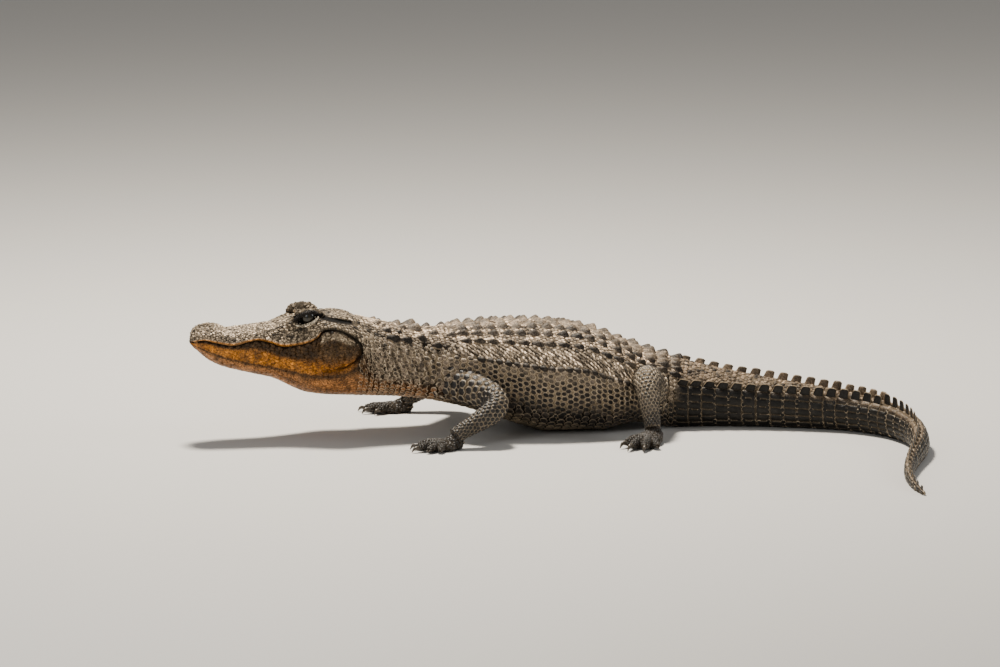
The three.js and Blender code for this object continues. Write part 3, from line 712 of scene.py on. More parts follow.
# One mesh of all copies of a form, with its map and markings
def joined(name, form, spots, place, colour, tone):
    count, per = spots.shape[:2]
    spots[:, :, 2] = np.maximum(spots[:, :, 2], 0.0)
    corners = (form["corners"][None, :] + np.arange(count)[:, None] * per).ravel()
    sizes = np.tile(form["sizes"], count)
    mesh = bpy.data.meshes.new(name)
    mesh.vertices.add(count * per)
    mesh.vertices.foreach_set("co", spots.astype(np.float32).ravel())
    mesh.loops.add(len(corners))
    mesh.loops.foreach_set("vertex_index", corners.astype(np.int32))
    mesh.polygons.add(len(sizes))
    mesh.polygons.foreach_set("loop_start", (np.cumsum(sizes) - sizes).astype(np.int32))
    mesh.update(calc_edges=True)
    mesh.shade_smooth()
    uv = 0.02 + 0.96 * place[:, None, :] + patchSize * form["spots"][None, :, :2]
    layer = mesh.uv_layers.new(name="OFBake")
    layer.data.foreach_set("uv", uv.reshape(-1, 2)[corners].astype(np.float32).ravel())
    paint(mesh, colour, np.tile(form["rim"], count), tone)
    piece = bpy.data.objects.new(name, mesh)
    bpy.context.scene.collection.objects.link(piece)
    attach(piece, "root")
    triangles = int((sizes - 2).sum())
    print(f"{name}: {count} scales, {triangles} triangles")
    return piece


def paint(mesh, colour, rim, tone):
    # colour of the hide with the paleness of the scales' rims, how near a point is to a rim, and chance
    layer = mesh.attributes.new("hide", "FLOAT_COLOR", "POINT")
    layer.data.foreach_set("color", colour.astype(np.float32).ravel())
    for name, values in (("rim", rim), ("tone", tone)):
        layer = mesh.attributes.new(name, "FLOAT", "POINT")
        layer.data.foreach_set("value", np.asarray(values, np.float32).ravel())


hideSurface = {"point": hidePoint, "step": 1.0, "hand": -1.0}


# Roots in rows round the body from one angle to another, an even width apart along each row
def rowRoots(surface, stations, fromAngle, toAngle, width, jitter=0.12, stagger=True):
    allS, allAngle, allWidth = [], [], []
    for row, s in enumerate(stations):
        start = fromAngle(s) if callable(fromAngle) else fromAngle
        end = toAngle(s) if callable(toAngle) else toAngle
        dense = np.linspace(start, end, 160)
        ring = surface["point"](np.full(160, s), dense)
        arc = np.concatenate([[0], np.cumsum(np.linalg.norm(np.diff(ring, axis=0), axis=1))])
        wide = width(s) if callable(width) else width
        count = max(int(round(arc[-1] / (wide * mm))), 1)
        half = 0.5 if stagger and row % 2 else 0.0
        places = (np.arange(count) + 0.25 + half) / count
        places = places[places < 1]
        if len(places) == 0:
            continue
        allAngle.append(np.interp(places * arc[-1], arc, dense))
        allS.append(np.full(len(places), float(s)))
        allWidth.append(np.full(len(places), arc[-1] / count / mm))
    s, angle, wide = (np.concatenate(k) for k in (allS, allAngle, allWidth))
    pitch = np.median(np.diff(np.unique(s))) if len(np.unique(s)) > 1 else 1
    s = s + rng.uniform(-jitter, jitter, len(s)) * pitch
    return s, angle, wide


def bothSides(roots):
    s, angle, wide = roots
    return np.tile(s, 2), np.concatenate([angle, -angle]), np.tile(wide, 2)


def steps(start, end, pitch):
    if callable(pitch):
        found = [start]
        while found[-1] < end:
            found.append(found[-1] + pitch(found[-1]))
        return np.array(found)
    return np.linspace(start, end, int(round((end - start) / pitch)) + 1)


# Colours of the hide, the same for the skin and its scales

# Some tints stand partly for light: keel, jaw, low, belly, tail and leg are darkened in part as painted
# shade, dome and tailTop are paler in part as painted light, and jawRim and throat are in part painted orange
# reflected light
tints = {
    "crown": (0.20, 0.155, 0.105), "snout": (0.42, 0.33, 0.235), "lip": (0.58, 0.23, 0.03),
    "jaw": (0.042, 0.022, 0.008), "jawRim": (0.36, 0.13, 0.012), "throat": (0.27, 0.115, 0.036),
    "lobe": (0.052, 0.029, 0.012), "dome": (0.40, 0.32, 0.22), "lid": (0.62, 0.53, 0.40),
    "back": (0.43, 0.325, 0.225), "keel": (0.010, 0.008, 0.007), "neck": (0.10, 0.077, 0.056),
    "flank": (0.56, 0.44, 0.315), "low": (0.014, 0.011, 0.009), "belly": (0.10, 0.078, 0.05),
    "tail": (0.008, 0.007, 0.006), "tailTop": (0.13, 0.092, 0.058), "leg": (0.012, 0.010, 0.009),
    "hind": (0.045, 0.037, 0.028), "dark": (0.004, 0.003, 0.0025),
}
rimShares = {  # how pale the rims of the scales turn
    "head": 0.8, "neck": 0.85, "back": 0.8, "flank": 0.95, "belly": 0.2, "tail": 0.3, "leg": 0.75,
    "hind": 1.0, "shin": 0.4, "paw": 0.1, "join": 0.6,
}


def tint(name):
    return np.array(tints[name])


def blend(colour, name, share):
    return mix(colour, tint(name)[None, :], np.clip(share, 0, 1)[:, None])


def waves(s, angle, scale, turns):
    # slow uneven markings that run on from scale to scale
    a = np.sin(s / scale + 2.1 * np.sin(angle * turns + s / (2.7 * scale)))
    b = np.sin(s / (1.7 * scale) - angle * turns * 1.6 + 1.3)
    return 0.5 + 0.25 * (a + b)


def headColours(s, share):
    # from crown to throat: grey snout, pale orange lip, brown jaw darkened in part as painted shade, with an
    # orange band along its lower edge and an orange throat, in part painted reflected light
    head = np.tile(tint("crown"), (len(s), 1))
    head = blend(head, "snout", 1 - smooth(s, 130, 225))
    lip = smooth(share, 0.455, 0.48) * (1 - smooth(share, 0.5, 0.512)) * (1 - smooth(s, 262, 272))
    head = blend(head, "lip", lip)
    head = blend(head, "jaw", smooth(share, 0.502, 0.512))
    start = 0.6 + 0.06 * smooth(s, 60, 280)
    band = smooth(share, start - 0.03, start + 0.03) * (1 - smooth(share, 0.705, 0.74))
    head = blend(head, "jawRim", band * (1 - smooth(s, 318, 340)))
    head = blend(head, "throat", smooth(share, 0.73, 0.78))
    return head


def headMarks(colour, s, share, place):
    # the jaw's lobe with its pale top as painted light, and painted shade in the folds, sockets, ears,
    # nostrils and the mouth's groove
    side, z = np.abs(place[:, 1]), place[:, 2]
    away, inside = creaseField(s, z)
    beside = smooth(side, 45, 60)
    lobe = inside * beside * smooth(away, 2, 7) * (1 - smooth(share, 0.655, 0.69))
    colour = blend(colour, "lobe", lobe)
    # orange low on the lobe: in part painted reflected light
    colour = blend(colour, "jawRim", lobe * 0.3 * (1 - smooth(z, 160, 188)))
    # painted light: the lobe's top is pale and streaked, as lit from above
    streak = 0.5 + 0.5 * np.sin(away * 1.7 + s * 0.12)
    dome = lobe * smooth(z, 201, 209) * smooth(away, 3, 6) * (1 - smooth(away, 15, 21))
    colour = blend(colour, "dome", dome * (0.3 + 0.7 * streak))
    # painted shade along the fold round the jaw
    colour = blend(colour, "dark", beside * 0.9 * np.exp(-(away / 3.0) ** 2))
    long, high = lidPlace(s, z)
    # painted shade in the eye socket, the ear slit, the nostrils and the mouth's groove
    socket = (1 - smooth(np.hypot(long, high), 0.95, 1.08)) * smooth(side, 42, 47)
    along, over = earPlace(s, z)
    slit = np.exp(-(over / (ear["height"] * 1.3)) ** 4) * (1 - smooth(np.abs(along), 0.85, 1.05))
    slit = slit * smooth(side, 35, 42)
    hole = np.exp(-1.2 * nostrilPlace(s, place[:, 1]) ** 2) * (z > 222)
    groove = np.exp(-((share - mouth["grooveShare"]) / 0.014) ** 2) * (s < mouth["corner"])
    for mark in (socket, slit, hole, groove):
        colour = blend(colour, "dark", mark)
    return colour


def hideColours(s, angle):
    share = np.abs(angle) / math.pi
    count = len(s)
    onHead = 1 - smooth(s, 340, 400)
    onTail = smooth(s, 975, 1050)
    body = np.tile(tint("back"), (count, 1))
    body = blend(body, "flank", smooth(share, 0.2, 0.3))
    # painted shade: dark slanting lines in the creases between the folds of the upper flank
    slant = np.cos(2 * math.pi * (s - 95 * np.abs(angle) + 6 * np.sin(s / 37)) / 17)
    lines = smooth(slant, 0.5, 0.95) * smooth(share, 0.2, 0.26) * (1 - smooth(share, 0.36, 0.4))
    body = blend(body, "keel", lines * 0.75 * smooth(s, 440, 520) * (1 - smooth(s, 930, 990)))
    # the flank darkens downward and the belly is dark: partly the hide's dark scales, partly painted shade on
    # the sides that face down
    body = blend(body, "low", 0.9 * smooth(share, 0.35, 0.41) + 0.1 * smooth(share, 0.42, 0.48))
    body = blend(body, "belly", smooth(share, 0.68, 0.8) * 0.9)
    neckSide = smooth(share, 0.1, 0.3) * (1 - smooth(s, 500, 600)) * (1 - smooth(share, 0.6, 0.7))
    body = blend(body, "neck", neckSide)
    body = body * (0.7 + 0.6 * waves(s, angle, 34, 3))[:, None]
    # the underside of the neck turns orange: partly pale hide, partly painted reflected light
    neckLow = smooth(share, 0.58, 0.72) * (1 - smooth(s, 430, 560))
    body = blend(body, "throat", neckLow * 0.8)
    # the tail is near black on its sides and paler on top: partly its own colour, partly painted shade and
    # painted light from above
    tail = np.tile(tint("tail"), (count, 1))
    tail = blend(tail, "tailTop", 1 - smooth(share, 0.1, 0.24))
    tail = blend(tail, "low", smooth(share, 0.7, 0.9) * 0.6)
    tail = tail * (0.8 + 0.4 * waves(s, angle, 55, 2))[:, None]
    body = mix(body, tail, onTail[:, None])
    head = headColours(s, share)
    head = head * (0.82 + 0.36 * waves(s, angle, 13, 6))[:, None]
    near = s < 420
    if near.any():
        place = hidePoint(s[near], angle[near]) / mm
        head[near] = headMarks(head[near], s[near], share[near], place)
    colour = mix(body, head, onHead[:, None])
    rims = rimShares
    edge = mix(rims["back"], rims["flank"], smooth(share, 0.25, 0.4))
    # the pale rims fade on the lower flank and belly as painted shade
    edge = mix(edge, rims["belly"], smooth(share, 0.46, 0.6))
    edge = mix(edge, rims["tail"], onTail)
    edge = mix(edge, rims["neck"], (1 - smooth(s, 480, 560)) * smooth(share, 0.12, 0.25))
    edge = mix(edge, rims["head"], onHead)
    return np.concatenate([colour, edge[:, None]], 1)


def legColours(t, angle):
    # the foreleg is near black: partly its wet dark hide, partly painted shade
    colour = np.tile(tint("leg"), (len(t), 1))
    colour = colour * (0.7 + 0.6 * waves(t * 300, angle, 30, 2))[:, None]
    edge = mix(rimShares["leg"], rimShares["shin"], smooth(t, 0.4, 0.9))
    return np.concatenate([colour, edge[:, None]], 1)


def hindColours(t, angle):
    colour = legColours(t, angle)
    colour[:, :3] = blend(colour[:, :3], "hind", 1 - smooth(t, 0.7, 1))
    colour[:, 3] = mix(rimShares["hind"], rimShares["shin"], smooth(t, 0.7, 1))
    return colour


def pawColours(t, angle):
    colour = legColours(t, angle)
    # the paws keep almost no pale rims: partly wet dark hide, partly painted shade
    colour[:, 3] = rimShares["paw"]
    return colour


# Shared effects of the materials


def nodeGroup(name, inputs, outputs):
    group = bpy.data.node_groups.new(name, "ShaderNodeTree")
    for label, kind, value in inputs:
        socket = group.interface.new_socket(label, in_out="INPUT", socket_type=kind)
        socket.default_value = value
    for label, kind in outputs:
        group.interface.new_socket(label, in_out="OUTPUT", socket_type=kind)
    return group, group.nodes.new("NodeGroupInput"), group.nodes.new("NodeGroupOutput")


def addNode(tree, kind, values=(), **settings):
    node = tree.nodes.new(kind)
    for key, value in settings.items():
        setattr(node, key, value)
    for key, value in values:
        node.inputs[key].default_value = value
    return node


def mixColours(tree, share, first, second, way="MIX"):
    node = addNode(tree, "ShaderNodeMix", data_type="RGBA", blend_type=way)
    for label, source in (("Factor", share), ("A", first), ("B", second)):
        socket = node.inputs[label]
        if hasattr(source, "is_linked"):
            tree.links.new(source, socket)
        else:
            socket.default_value = source
    return node.outputs["Result"]


def mathNode(tree, operation, first, second=0.0, third=0.0):
    node = addNode(tree, "ShaderNodeMath", operation=operation)
    for i, source in enumerate((first, second, third)):
        if hasattr(source, "is_linked"):
            tree.links.new(source, node.inputs[i])
        else:
            node.inputs[i].default_value = source
    return node.outputs[0]


def noise(tree, scale, detail, rough=0.55, stretch=(1, 1, 1)):
    place = tree.nodes.new("ShaderNodeTexCoord")
    mapping = addNode(tree, "ShaderNodeMapping", (("Scale", stretch),))
    tree.links.new(place.outputs["Object"], mapping.inputs["Vector"])
    node = addNode(tree, "ShaderNodeTexNoise", (("Scale", scale), ("Detail", detail), ("Roughness", rough)))
    tree.links.new(mapping.outputs["Vector"], node.inputs["Vector"])
    return node.outputs["Fac"]


def ramp(tree, source, low, high):
    limits = (("From Min", low), ("From Max", high))
    node = addNode(tree, "ShaderNodeMapRange", limits, interpolation_type="SMOOTHSTEP")
    tree.links.new(source, node.inputs["Value"])
    return node.outputs["Result"]


# Dust and dried mud, as patches and fine specks
def makeDustGroup():
    group, source, target = nodeGroup(
        "settled dust",
        (("Color", "NodeSocketColor", (0.1, 0.1, 0.1, 1)), ("Dust", "NodeSocketColor", (0.3, 0.26, 0.2, 1)),
         ("Amount", "NodeSocketFloat", 0.4), ("Patch Scale", "NodeSocketFloat", 20.0)),
        (("Color", "NodeSocketColor"), ("Mask", "NodeSocketFloat")))
    place = group.nodes.new("ShaderNodeTexCoord")
    patches = addNode(group, "ShaderNodeTexNoise", (("Detail", 4.0), ("Roughness", 0.6)))
    group.links.new(place.outputs["Object"], patches.inputs["Vector"])
    group.links.new(source.outputs["Patch Scale"], patches.inputs["Scale"])
    specks = addNode(group, "ShaderNodeTexNoise", (("Scale", 900.0), ("Detail", 2.0)))
    group.links.new(place.outputs["Object"], specks.inputs["Vector"])
    broad = ramp(group, patches.outputs["Fac"], 0.42, 0.72)
    fine = ramp(group, specks.outputs["Fac"], 0.45, 0.68)
    both = mathNode(group, "MULTIPLY_ADD", fine, 0.6, 0.4)
    mask = mathNode(group, "MULTIPLY", mathNode(group, "MULTIPLY", broad, both), source.outputs["Amount"])
    shade = mixColours(group, mask, source.outputs["Color"], source.outputs["Dust"])
    group.links.new(shade, target.inputs["Color"])
    group.links.new(mask, target.inputs["Mask"])
    return group


# Fine relief of horny skin: pores, creases and a faint cell pattern
def makeReliefGroup():
    group, source, target = nodeGroup(
        "horny relief",
        (("Pore Scale", "NodeSocketFloat", 700.0), ("Crease Scale", "NodeSocketFloat", 160.0),
         ("Crease Amount", "NodeSocketFloat", 0.5)),
        (("Height", "NodeSocketFloat"),))
    place = group.nodes.new("ShaderNodeTexCoord")
    pores = addNode(group, "ShaderNodeTexNoise", (("Detail", 3.0), ("Roughness", 0.65)))
    creases = addNode(group, "ShaderNodeTexVoronoi", feature="DISTANCE_TO_EDGE")
    group.links.new(place.outputs["Object"], pores.inputs["Vector"])
    group.links.new(place.outputs["Object"], creases.inputs["Vector"])
    group.links.new(source.outputs["Pore Scale"], pores.inputs["Scale"])
    group.links.new(source.outputs["Crease Scale"], creases.inputs["Scale"])
    edge = ramp(group, creases.outputs["Distance"], 0.0, 0.09)
    height = mathNode(group, "MULTIPLY_ADD", edge, source.outputs["Crease Amount"], pores.outputs["Fac"])
    group.links.new(height, target.inputs["Height"])
    return group


dustGroup = makeDustGroup()
reliefGroup = makeReliefGroup()


looks = {
    # rim: from where to where the rims take their tint, pale on most horn and dark as painted shade between
    # the scales on fold and head horn; grain: contrast of the fine mottling; variety: from scale to scale;
    # flecks: pale grains; dust: its amount and patches a metre; relief: depth of the pores
    "skin between scales": {"rim": (-0.2, 0.2), "rimTint": (0.44, 0.34, 0.22), "grain": 0.5, "variety": 0.0,
                            "flecks": 0.2, "dust": 0.3, "patches": 14, "rough": 0.75, "relief": 0.6,
                            "shine": 0.08},
    "plate horn": {"rim": (0.5, 1.0), "rimTint": (0.42, 0.32, 0.21), "grain": 0.6, "variety": 0.6,
                   "flecks": 0.3, "dust": 0.25, "patches": 18, "rough": 0.5, "relief": 0.55},
    # fold horn: its rims turn dark, painted shade between the scales
    "fold horn": {"rim": (0.5, 0.95), "rimTint": (0.014, 0.010, 0.007), "grain": 0.8, "variety": 1.8,
                  "flecks": 0.6, "dust": 0.35, "patches": 20, "rough": 0.55, "relief": 0.5},
    "flank horn": {"rim": (0.72, 1.0), "rimTint": (0.74, 0.60, 0.43), "grain": 0.65, "variety": 1.3,
                   "flecks": 0.4, "dust": 0.35, "patches": 22, "rough": 0.48, "relief": 0.4},
    "tail horn": {"rim": (0.84, 1.0), "rimTint": (0.34, 0.26, 0.17), "grain": 0.5, "variety": 0.6,
                  "flecks": 0.2, "dust": 0.25, "patches": 16, "rough": 0.38, "relief": 0.45},
    "leg horn": {"rim": (0.76, 1.0), "rimTint": (0.62, 0.51, 0.37), "grain": 0.6, "variety": 1.1,
                 "flecks": 0.15, "dust": 0.12, "patches": 24, "rough": 0.36, "relief": 0.4, "shine": 0.33},
    # head horn: its rims turn dark, painted shade between the scales
    "head horn": {"rim": (0.5, 0.95), "rimTint": (0.018, 0.013, 0.009), "grain": 0.85, "variety": 1.9,
                  "flecks": 0.8, "dust": 0.35, "patches": 40, "rough": 0.5, "relief": 0.6, "patch": 140},
    "jaw skin": {"rim": (0.85, 1.0), "rimTint": (0.07, 0.034, 0.012), "grain": 0.6, "variety": 0.5,
                 "flecks": 0.1, "dust": 0.08, "patches": 30, "rough": 0.42, "relief": 0.35},
}
dustTint = (0.52, 0.41, 0.28, 1)


def hornMaterial(name):
    look = looks[name]
    material = bpy.data.materials.new(name)
    material.use_nodes = True
    tree = material.node_tree
    shader = tree.nodes["Principled BSDF"]
    hideNode = addNode(tree, "ShaderNodeAttribute", attribute_name="hide")
    toneNode = addNode(tree, "ShaderNodeAttribute", attribute_name="tone")
    rimNode = addNode(tree, "ShaderNodeAttribute", attribute_name="rim")
    variety = look["variety"]
    tone = mathNode(tree, "MULTIPLY_ADD", toneNode.outputs["Fac"], variety, 1 - variety / 2)
    shade = mixColours(tree, 1.0, hideNode.outputs["Color"], tone, "MULTIPLY")
    for scale, share in ((look.get("patch", 55), 0.7), (330, 1.0)):
        grain = ramp(tree, noise(tree, scale, 4), 0.34, 0.66)
        reach = look["grain"] * share
        grain = mathNode(tree, "MULTIPLY_ADD", grain, 2 * reach, 1 - reach)
        shade = mixColours(tree, 1.0, shade, grain, "MULTIPLY")
    edge = ramp(tree, rimNode.outputs["Fac"], *look["rim"])
    ragged = ramp(tree, noise(tree, 240, 3), 0.3, 0.6)
    edge = mathNode(tree, "MULTIPLY", edge, mathNode(tree, "MULTIPLY_ADD", ragged, 0.6, 0.4))
    edge = mathNode(tree, "MULTIPLY", edge, hideNode.outputs["Alpha"])
    # the rims take their tint: pale on most horn, painted shade between the scales where the tint is dark
    shade = mixColours(tree, edge, shade, (*look["rimTint"], 1))
    flecks = ramp(tree, noise(tree, 700, 2), 0.56, 0.7)
    grey = addNode(tree, "ShaderNodeRGBToBW")
    tree.links.new(shade, grey.inputs["Color"])
    holds = ramp(tree, grey.outputs["Val"], 0.002, 0.07)  # dust is kept off the darkest colours, so dark horn and painted shade stay dark
    flecks = mathNode(tree, "MULTIPLY", flecks, mathNode(tree, "MULTIPLY", holds, look["flecks"] * 0.5))
    shade = mixColours(tree, flecks, shade, dustTint)
    settled = addNode(tree, "ShaderNodeGroup", node_tree=dustGroup)
    settled.inputs["Dust"].default_value = dustTint
    tree.links.new(mathNode(tree, "MULTIPLY", holds, look["dust"]), settled.inputs["Amount"])
    settled.inputs["Patch Scale"].default_value = look["patches"]
    tree.links.new(shade, settled.inputs["Color"])
    tree.links.new(settled.outputs["Color"], shader.inputs["Base Color"])
    gloss = mathNode(tree, "MULTIPLY_ADD", settled.outputs["Mask"], 0.35, look["rough"] - 0.11)
    gloss = mathNode(tree, "MULTIPLY_ADD", noise(tree, 45, 3), 0.22, gloss)
    tree.links.new(gloss, shader.inputs["Roughness"])
    shader.inputs["Specular IOR Level"].default_value = look.get("shine", 0.2)
    pores = addNode(tree, "ShaderNodeGroup", node_tree=reliefGroup)
    bump = addNode(tree, "ShaderNodeBump", (("Strength", look["relief"]), ("Distance", 0.0012)))
    tree.links.new(pores.outputs["Height"], bump.inputs["Height"])
    tree.links.new(bump.outputs["Normal"], shader.inputs["Normal"])
    return material


horn = {name: hornMaterial(name) for name in looks}


skinPaintedShade = 0.3  # painted shade: the skin between the scales is darkened, as in the scales' shadow
throatShade = 0.65
skinShow = {"flank": 0.5, "leg": 0.3, "paw": 0.05, "tail": 0.12}  # how pale it shows between them


# The skin's own colours, from the nearest point of the form it came from
def paintSkin():
    sources = []
    grid = np.meshgrid(np.linspace(0, 1, 700), np.linspace(-math.pi, math.pi, 240), indexing="ij")
    s, angle = stationOf(grid[0].ravel()), grid[1].ravel()
    share = np.abs(angle) / math.pi
    pale = smooth(share, 0.33, 0.4) * (1 - smooth(share, 0.5, 0.62))
    pale = pale * smooth(s, 380, 460) * (1 - smooth(s, 960, 1000))
    colour = hideColours(s, angle)
    colour[:, 3] = skinShow["flank"] * pale + skinShow["tail"] * smooth(s, 1000, 1060)
    # the skin of the throat takes less of the painted shade
    throat = smooth(share, 0.56, 0.6) * (1 - smooth(s, 345, 370))
    colour[:, :3] *= mix(1, throatShade / skinPaintedShade, throat)[:, None]
    sources.append((hidePoint(s, angle), colour))
    for kind in ("fore", "hind"):
        for way in (-1, 1):
            parts = legParts(kind, way)
            grid = np.meshgrid(np.linspace(0.12, 1, 60), np.linspace(0, 2 * math.pi, 40), indexing="ij")
            t, turn = grid[0].ravel(), grid[1].ravel()
            colours = legColours if kind == "fore" else hindColours
            colour = colours(t, turn)
            colour[:, 3] = mix(skinShow["leg"], skinShow["paw"], smooth(t, 0.75, 0.92))
            sources.append((parts["limb"](t, turn), colour))
            spot = (parts["palm"] + parts["forward"] * np.linspace(-50, 110, 33)[:, None]) * mm
            colour = legColours(np.ones(33), np.zeros(33))
            colour[:, 3] = skinShow["paw"]
            sources.append((spot, colour))
    known = np.concatenate([k[0] for k in sources])
    colour = np.concatenate([k[1] for k in sources])
    tree = searchTree(known.tolist())
    nearest = np.array([tree.find(co)[1] for co in points(hide).tolist()])
    count = len(nearest)
    colour = colour[nearest]
    # painted shade: the skin between the scales is darkened
    colour[:, :3] *= skinPaintedShade
    paint(hide.data, colour, np.ones(count), np.full(count, 0.5))
    hide.data.materials.clear()
    hide.data.materials.append(horn["skin between scales"])
    print("skin painted")


paintSkin()


# Scales of the trunk

pebble = pebbleForm(6, 0, True)
fineTile = pebbleForm(8, 0.75, True)
wideTile = pebbleForm(12, 0.8, True)
plate = plateForm(5, 0.8)
lobe = lobeForm(5)
bump = pebbleForm(6, 0, False)

clearings = {"lids": 1.16, "crease": 3.6}  # room round the lids, in openings, and round the jaw's fold, in mm


def dress(piece, material):
    piece.data.materials.clear()
    piece.data.materials.append(material)
    return piece


# Roots that keep clear of the lids, the ears, the nostrils and the fold behind the jaw
def clearRoots(roots):
    s, angle, wide = roots
    side, z = np.abs(hidePoint(s, angle)[:, 1:].T) / mm
    keep = ~((np.hypot(*lidPlace(s, z)) < clearings["lids"]) & (side > 45))
    along, over = earPlace(s, z)
    keep &= ~((np.abs(over) < ear["height"]) & (np.abs(along) < 1) & (side > 35))
    keep &= ~((creaseField(s, z)[0] < clearings["crease"]) & (side > 50))
    keep &= nostrilPlace(s, side) > 1
    return s[keep], angle[keep], wide[keep]


def varied(measure, count):
    # one size for all, or a size and the two shares of it between which the scales vary
    size, *limits = measure
    if limits:
        return size * rng.uniform(*limits, count)
    return np.full(count, float(size))


# Covers a part of the hide on both sides with rows of scales. A patch names its rows as (first station,
# last station, pitch), the angles where a row starts and ends, the room of a scale in its row, and how
# far its root strays. Its width is a share of that room, and lean is its turn toward the belly.
def makePatch(name, patch):
    start, end = patch["edges"]
    rows = steps(*patch["rows"])
    inRows = patch.get("stagger", True)
    roots = bothSides(rowRoots(hideSurface, rows, start, end, patch["room"], patch["stray"], inRows))
    s, angle, wide = clearRoots(roots) if "clear" in patch else roots
    count = len(s)
    length = varied(patch["length"], count)
    width = wide * varied(patch["width"], count)
    height = varied(patch["height"], count)
    twist = np.zeros(count)
    if "twist" in patch:
        twist = rng.uniform(-patch["twist"], patch["twist"], count)
    if "lean" in patch:
        twist = np.sign(angle) * (patch["lean"] - twist)
    size = (length, width, height)
    piece = coat(name, patch["form"], hideSurface, (s, angle), size, hideColours, twist)
    dress(piece, horn[patch["horn"]])


def backEdge(s):
    return math.radians(float(np.interp(s, (556, 620, 900, 960, 1040), (42, 48, 50, 42, 30))))


def flankEdge(s):
    return math.radians(float(np.interp(s, (470, 560, 620, 900, 1030), (44, 47, 49, 50, 40))))


trunkPatches = {
    "back_scales": {
        "rows": (556, 1040, 8.2), "edges": (math.radians(0.8), backEdge), "room": 8.5, "stray": 0.25,
        "length": (9.6, 0.8, 1.15), "width": (0.98,), "height": (2.0, 0.5, 1.5), "twist": 0.3,
        "form": bump, "horn": "fold horn",
    },
    "fold_scales": {  # narrow scales between slanting folds, down to the row of flank keels
        "rows": (540, 1000, 7.2), "edges": (flankEdge, math.radians(67)), "room": 9.5, "stray": 0.3,
        "length": (6.6, 0.75, 1.15), "width": (1.2,), "height": (2.5, 0.5, 1.4), "twist": 0.2,
        "lean": -0.5, "form": pebble, "horn": "fold horn",
    },
    "flank_scales": {
        "rows": (470, 1030, 12.5), "edges": (math.radians(68), math.radians(112)), "room": 10.5,
        "stray": 0.2, "length": (15.4, 0.84, 1.04), "width": (1.0, 0.86, 1.02), "height": (3.0, 0.8, 1.2),
        "form": pebble, "horn": "flank horn",
    },
    "belly_scales": {
        "rows": (480, 1030, 17), "edges": (math.radians(112), math.pi), "room": 18, "stray": 0.04,
        "length": (16.2,), "width": (0.95,), "height": (1.8,), "form": fineTile, "horn": "flank horn",
    },
    "nape_scales": {
        "rows": (356, 560, 8), "edges": (math.radians(1), math.radians(52)), "room": 8, "stray": 0.25,
        "length": (10.2, 0.8, 1.1), "width": (0.98,), "height": (2.5, 0.6, 1.4),
        "form": pebble, "horn": "fold horn",
    },
    "neck_scales": {
        "rows": (350, 470, 9.5), "edges": (math.radians(50), math.radians(118)), "room": 8.5, "stray": 0.2,
        "length": (12.4, 0.85, 1.05), "width": (0.98,), "height": (2.8, 0.6, 1.3), "lean": 0.35,
        "form": pebble, "horn": "flank horn",
    },
    "chest_scales": {
        "rows": (345, 480, 11), "edges": (math.radians(118), math.pi), "room": 10, "stray": 0.12,
        "length": (10.4,), "width": (0.94,), "height": (1.3,), "form": fineTile, "horn": "flank horn",
    },
}

# Keels of the back, in four columns on each side of the middle
back = {
    "first": 566, "last": 1030, "pitch": 29.5, "angles": (4.5, 14.5, 27.5, 42), "width": 24, "height": 11.5,
    "widths": (1, 1, 1, 0.85), "heights": (0.8, 1, 1.05, 0.85),  # shares of that size in each column
    "outerLast": 960,
}


# Keels are darker than the skin that they stand on, partly dark horn and partly painted shade, and dusty only
# at their feet
def keelColours(s, angle):
    colour = hideColours(s, angle)
    dark = mix(0.6, 0.93, smooth(np.abs(angle), 0.1, 0.35))  # painted shade: the outer rows, whose sides turn from the light, are darker than the middle rows
    colour[:, :3] = mix(colour[:, :3], tint("keel")[None, :], dark[:, None])
    colour[:, 3] = 0.9
    return colour


def makeBackKeels():
    s, angle, width, height = [], [], [], []
    for row, station in enumerate(steps(back["first"], back["last"], back["pitch"])):
        scale = 0.45 + 0.55 * float(halfWidth(station)) / 160
        for column, base in enumerate(back["angles"]):
            if column == 3 and station > back["outerLast"]:
                continue
            for way in (-1, 1):
                s.append(station + 3 * math.sin(row * 5 + column * 2 + way))
                angle.append(math.radians(base) * way)
                width.append(back["width"] * scale * back["widths"][column])
                tall = back["height"] * back["heights"][column]
                height.append(tall * rng.uniform(0.85, 1.12))
    s, angle = np.array(s), np.array(angle)
    length = back["pitch"] * rng.uniform(0.84, 0.95, len(s))
    size = (length, np.array(width), np.array(height))
    piece = coat("back_keels", plate, hideSurface, (s, angle), size, keelColours)
    dress(piece, horn["plate horn"])


flankKeels = {
    "rows": (592, 930, 17.5), "angle": 69, "length": (17.5,), "width": (16.0,), "height": (7.0, 0.75, 1.2),
}


def makeFlankKeels():
    rows = steps(*flankKeels["rows"])
    s = np.tile(rows, 2)
    angle = np.repeat([1, -1], len(rows)) * math.radians(flankKeels["angle"])
    size = [varied(flankKeels[k], len(s)) for k in ("length", "width", "height")]
    piece = coat("flank_keels", plate, hideSurface, (s, angle), size, keelColours)
    dress(piece, horn["plate horn"])


neckPlate = {"length": 27, "width": 22, "height": 12.5}
neckPlaces = (  # station, angle from the top, share of that size, of the large plates behind the head
    (405, 32, 0.8), (416, 47, 1.1), (440, 15, 0.85), (445, 46, 0.95), (467, 13, 1.3), (478, 38, 1),
    (507, 50, 0.8), (506, 22, 0.85), (541, 29, 0.85), (390, 12, 0.6), (548, 9, 0.7), (430, 30, 0.6),
)


def makeNeckPlates():
    s = np.array([k[0] for k in neckPlaces] * 2, float)
    angle = np.radians([k[1] for k in neckPlaces] + [-k[1] for k in neckPlaces])
    share = np.array([k[2] for k in neckPlaces] * 2)
    size = [neckPlate[k] * share for k in ("length", "width", "height")]
    piece = coat("neck_plates", plate, hideSurface, (s, angle), size, keelColours)
    dress(piece, horn["plate horn"])


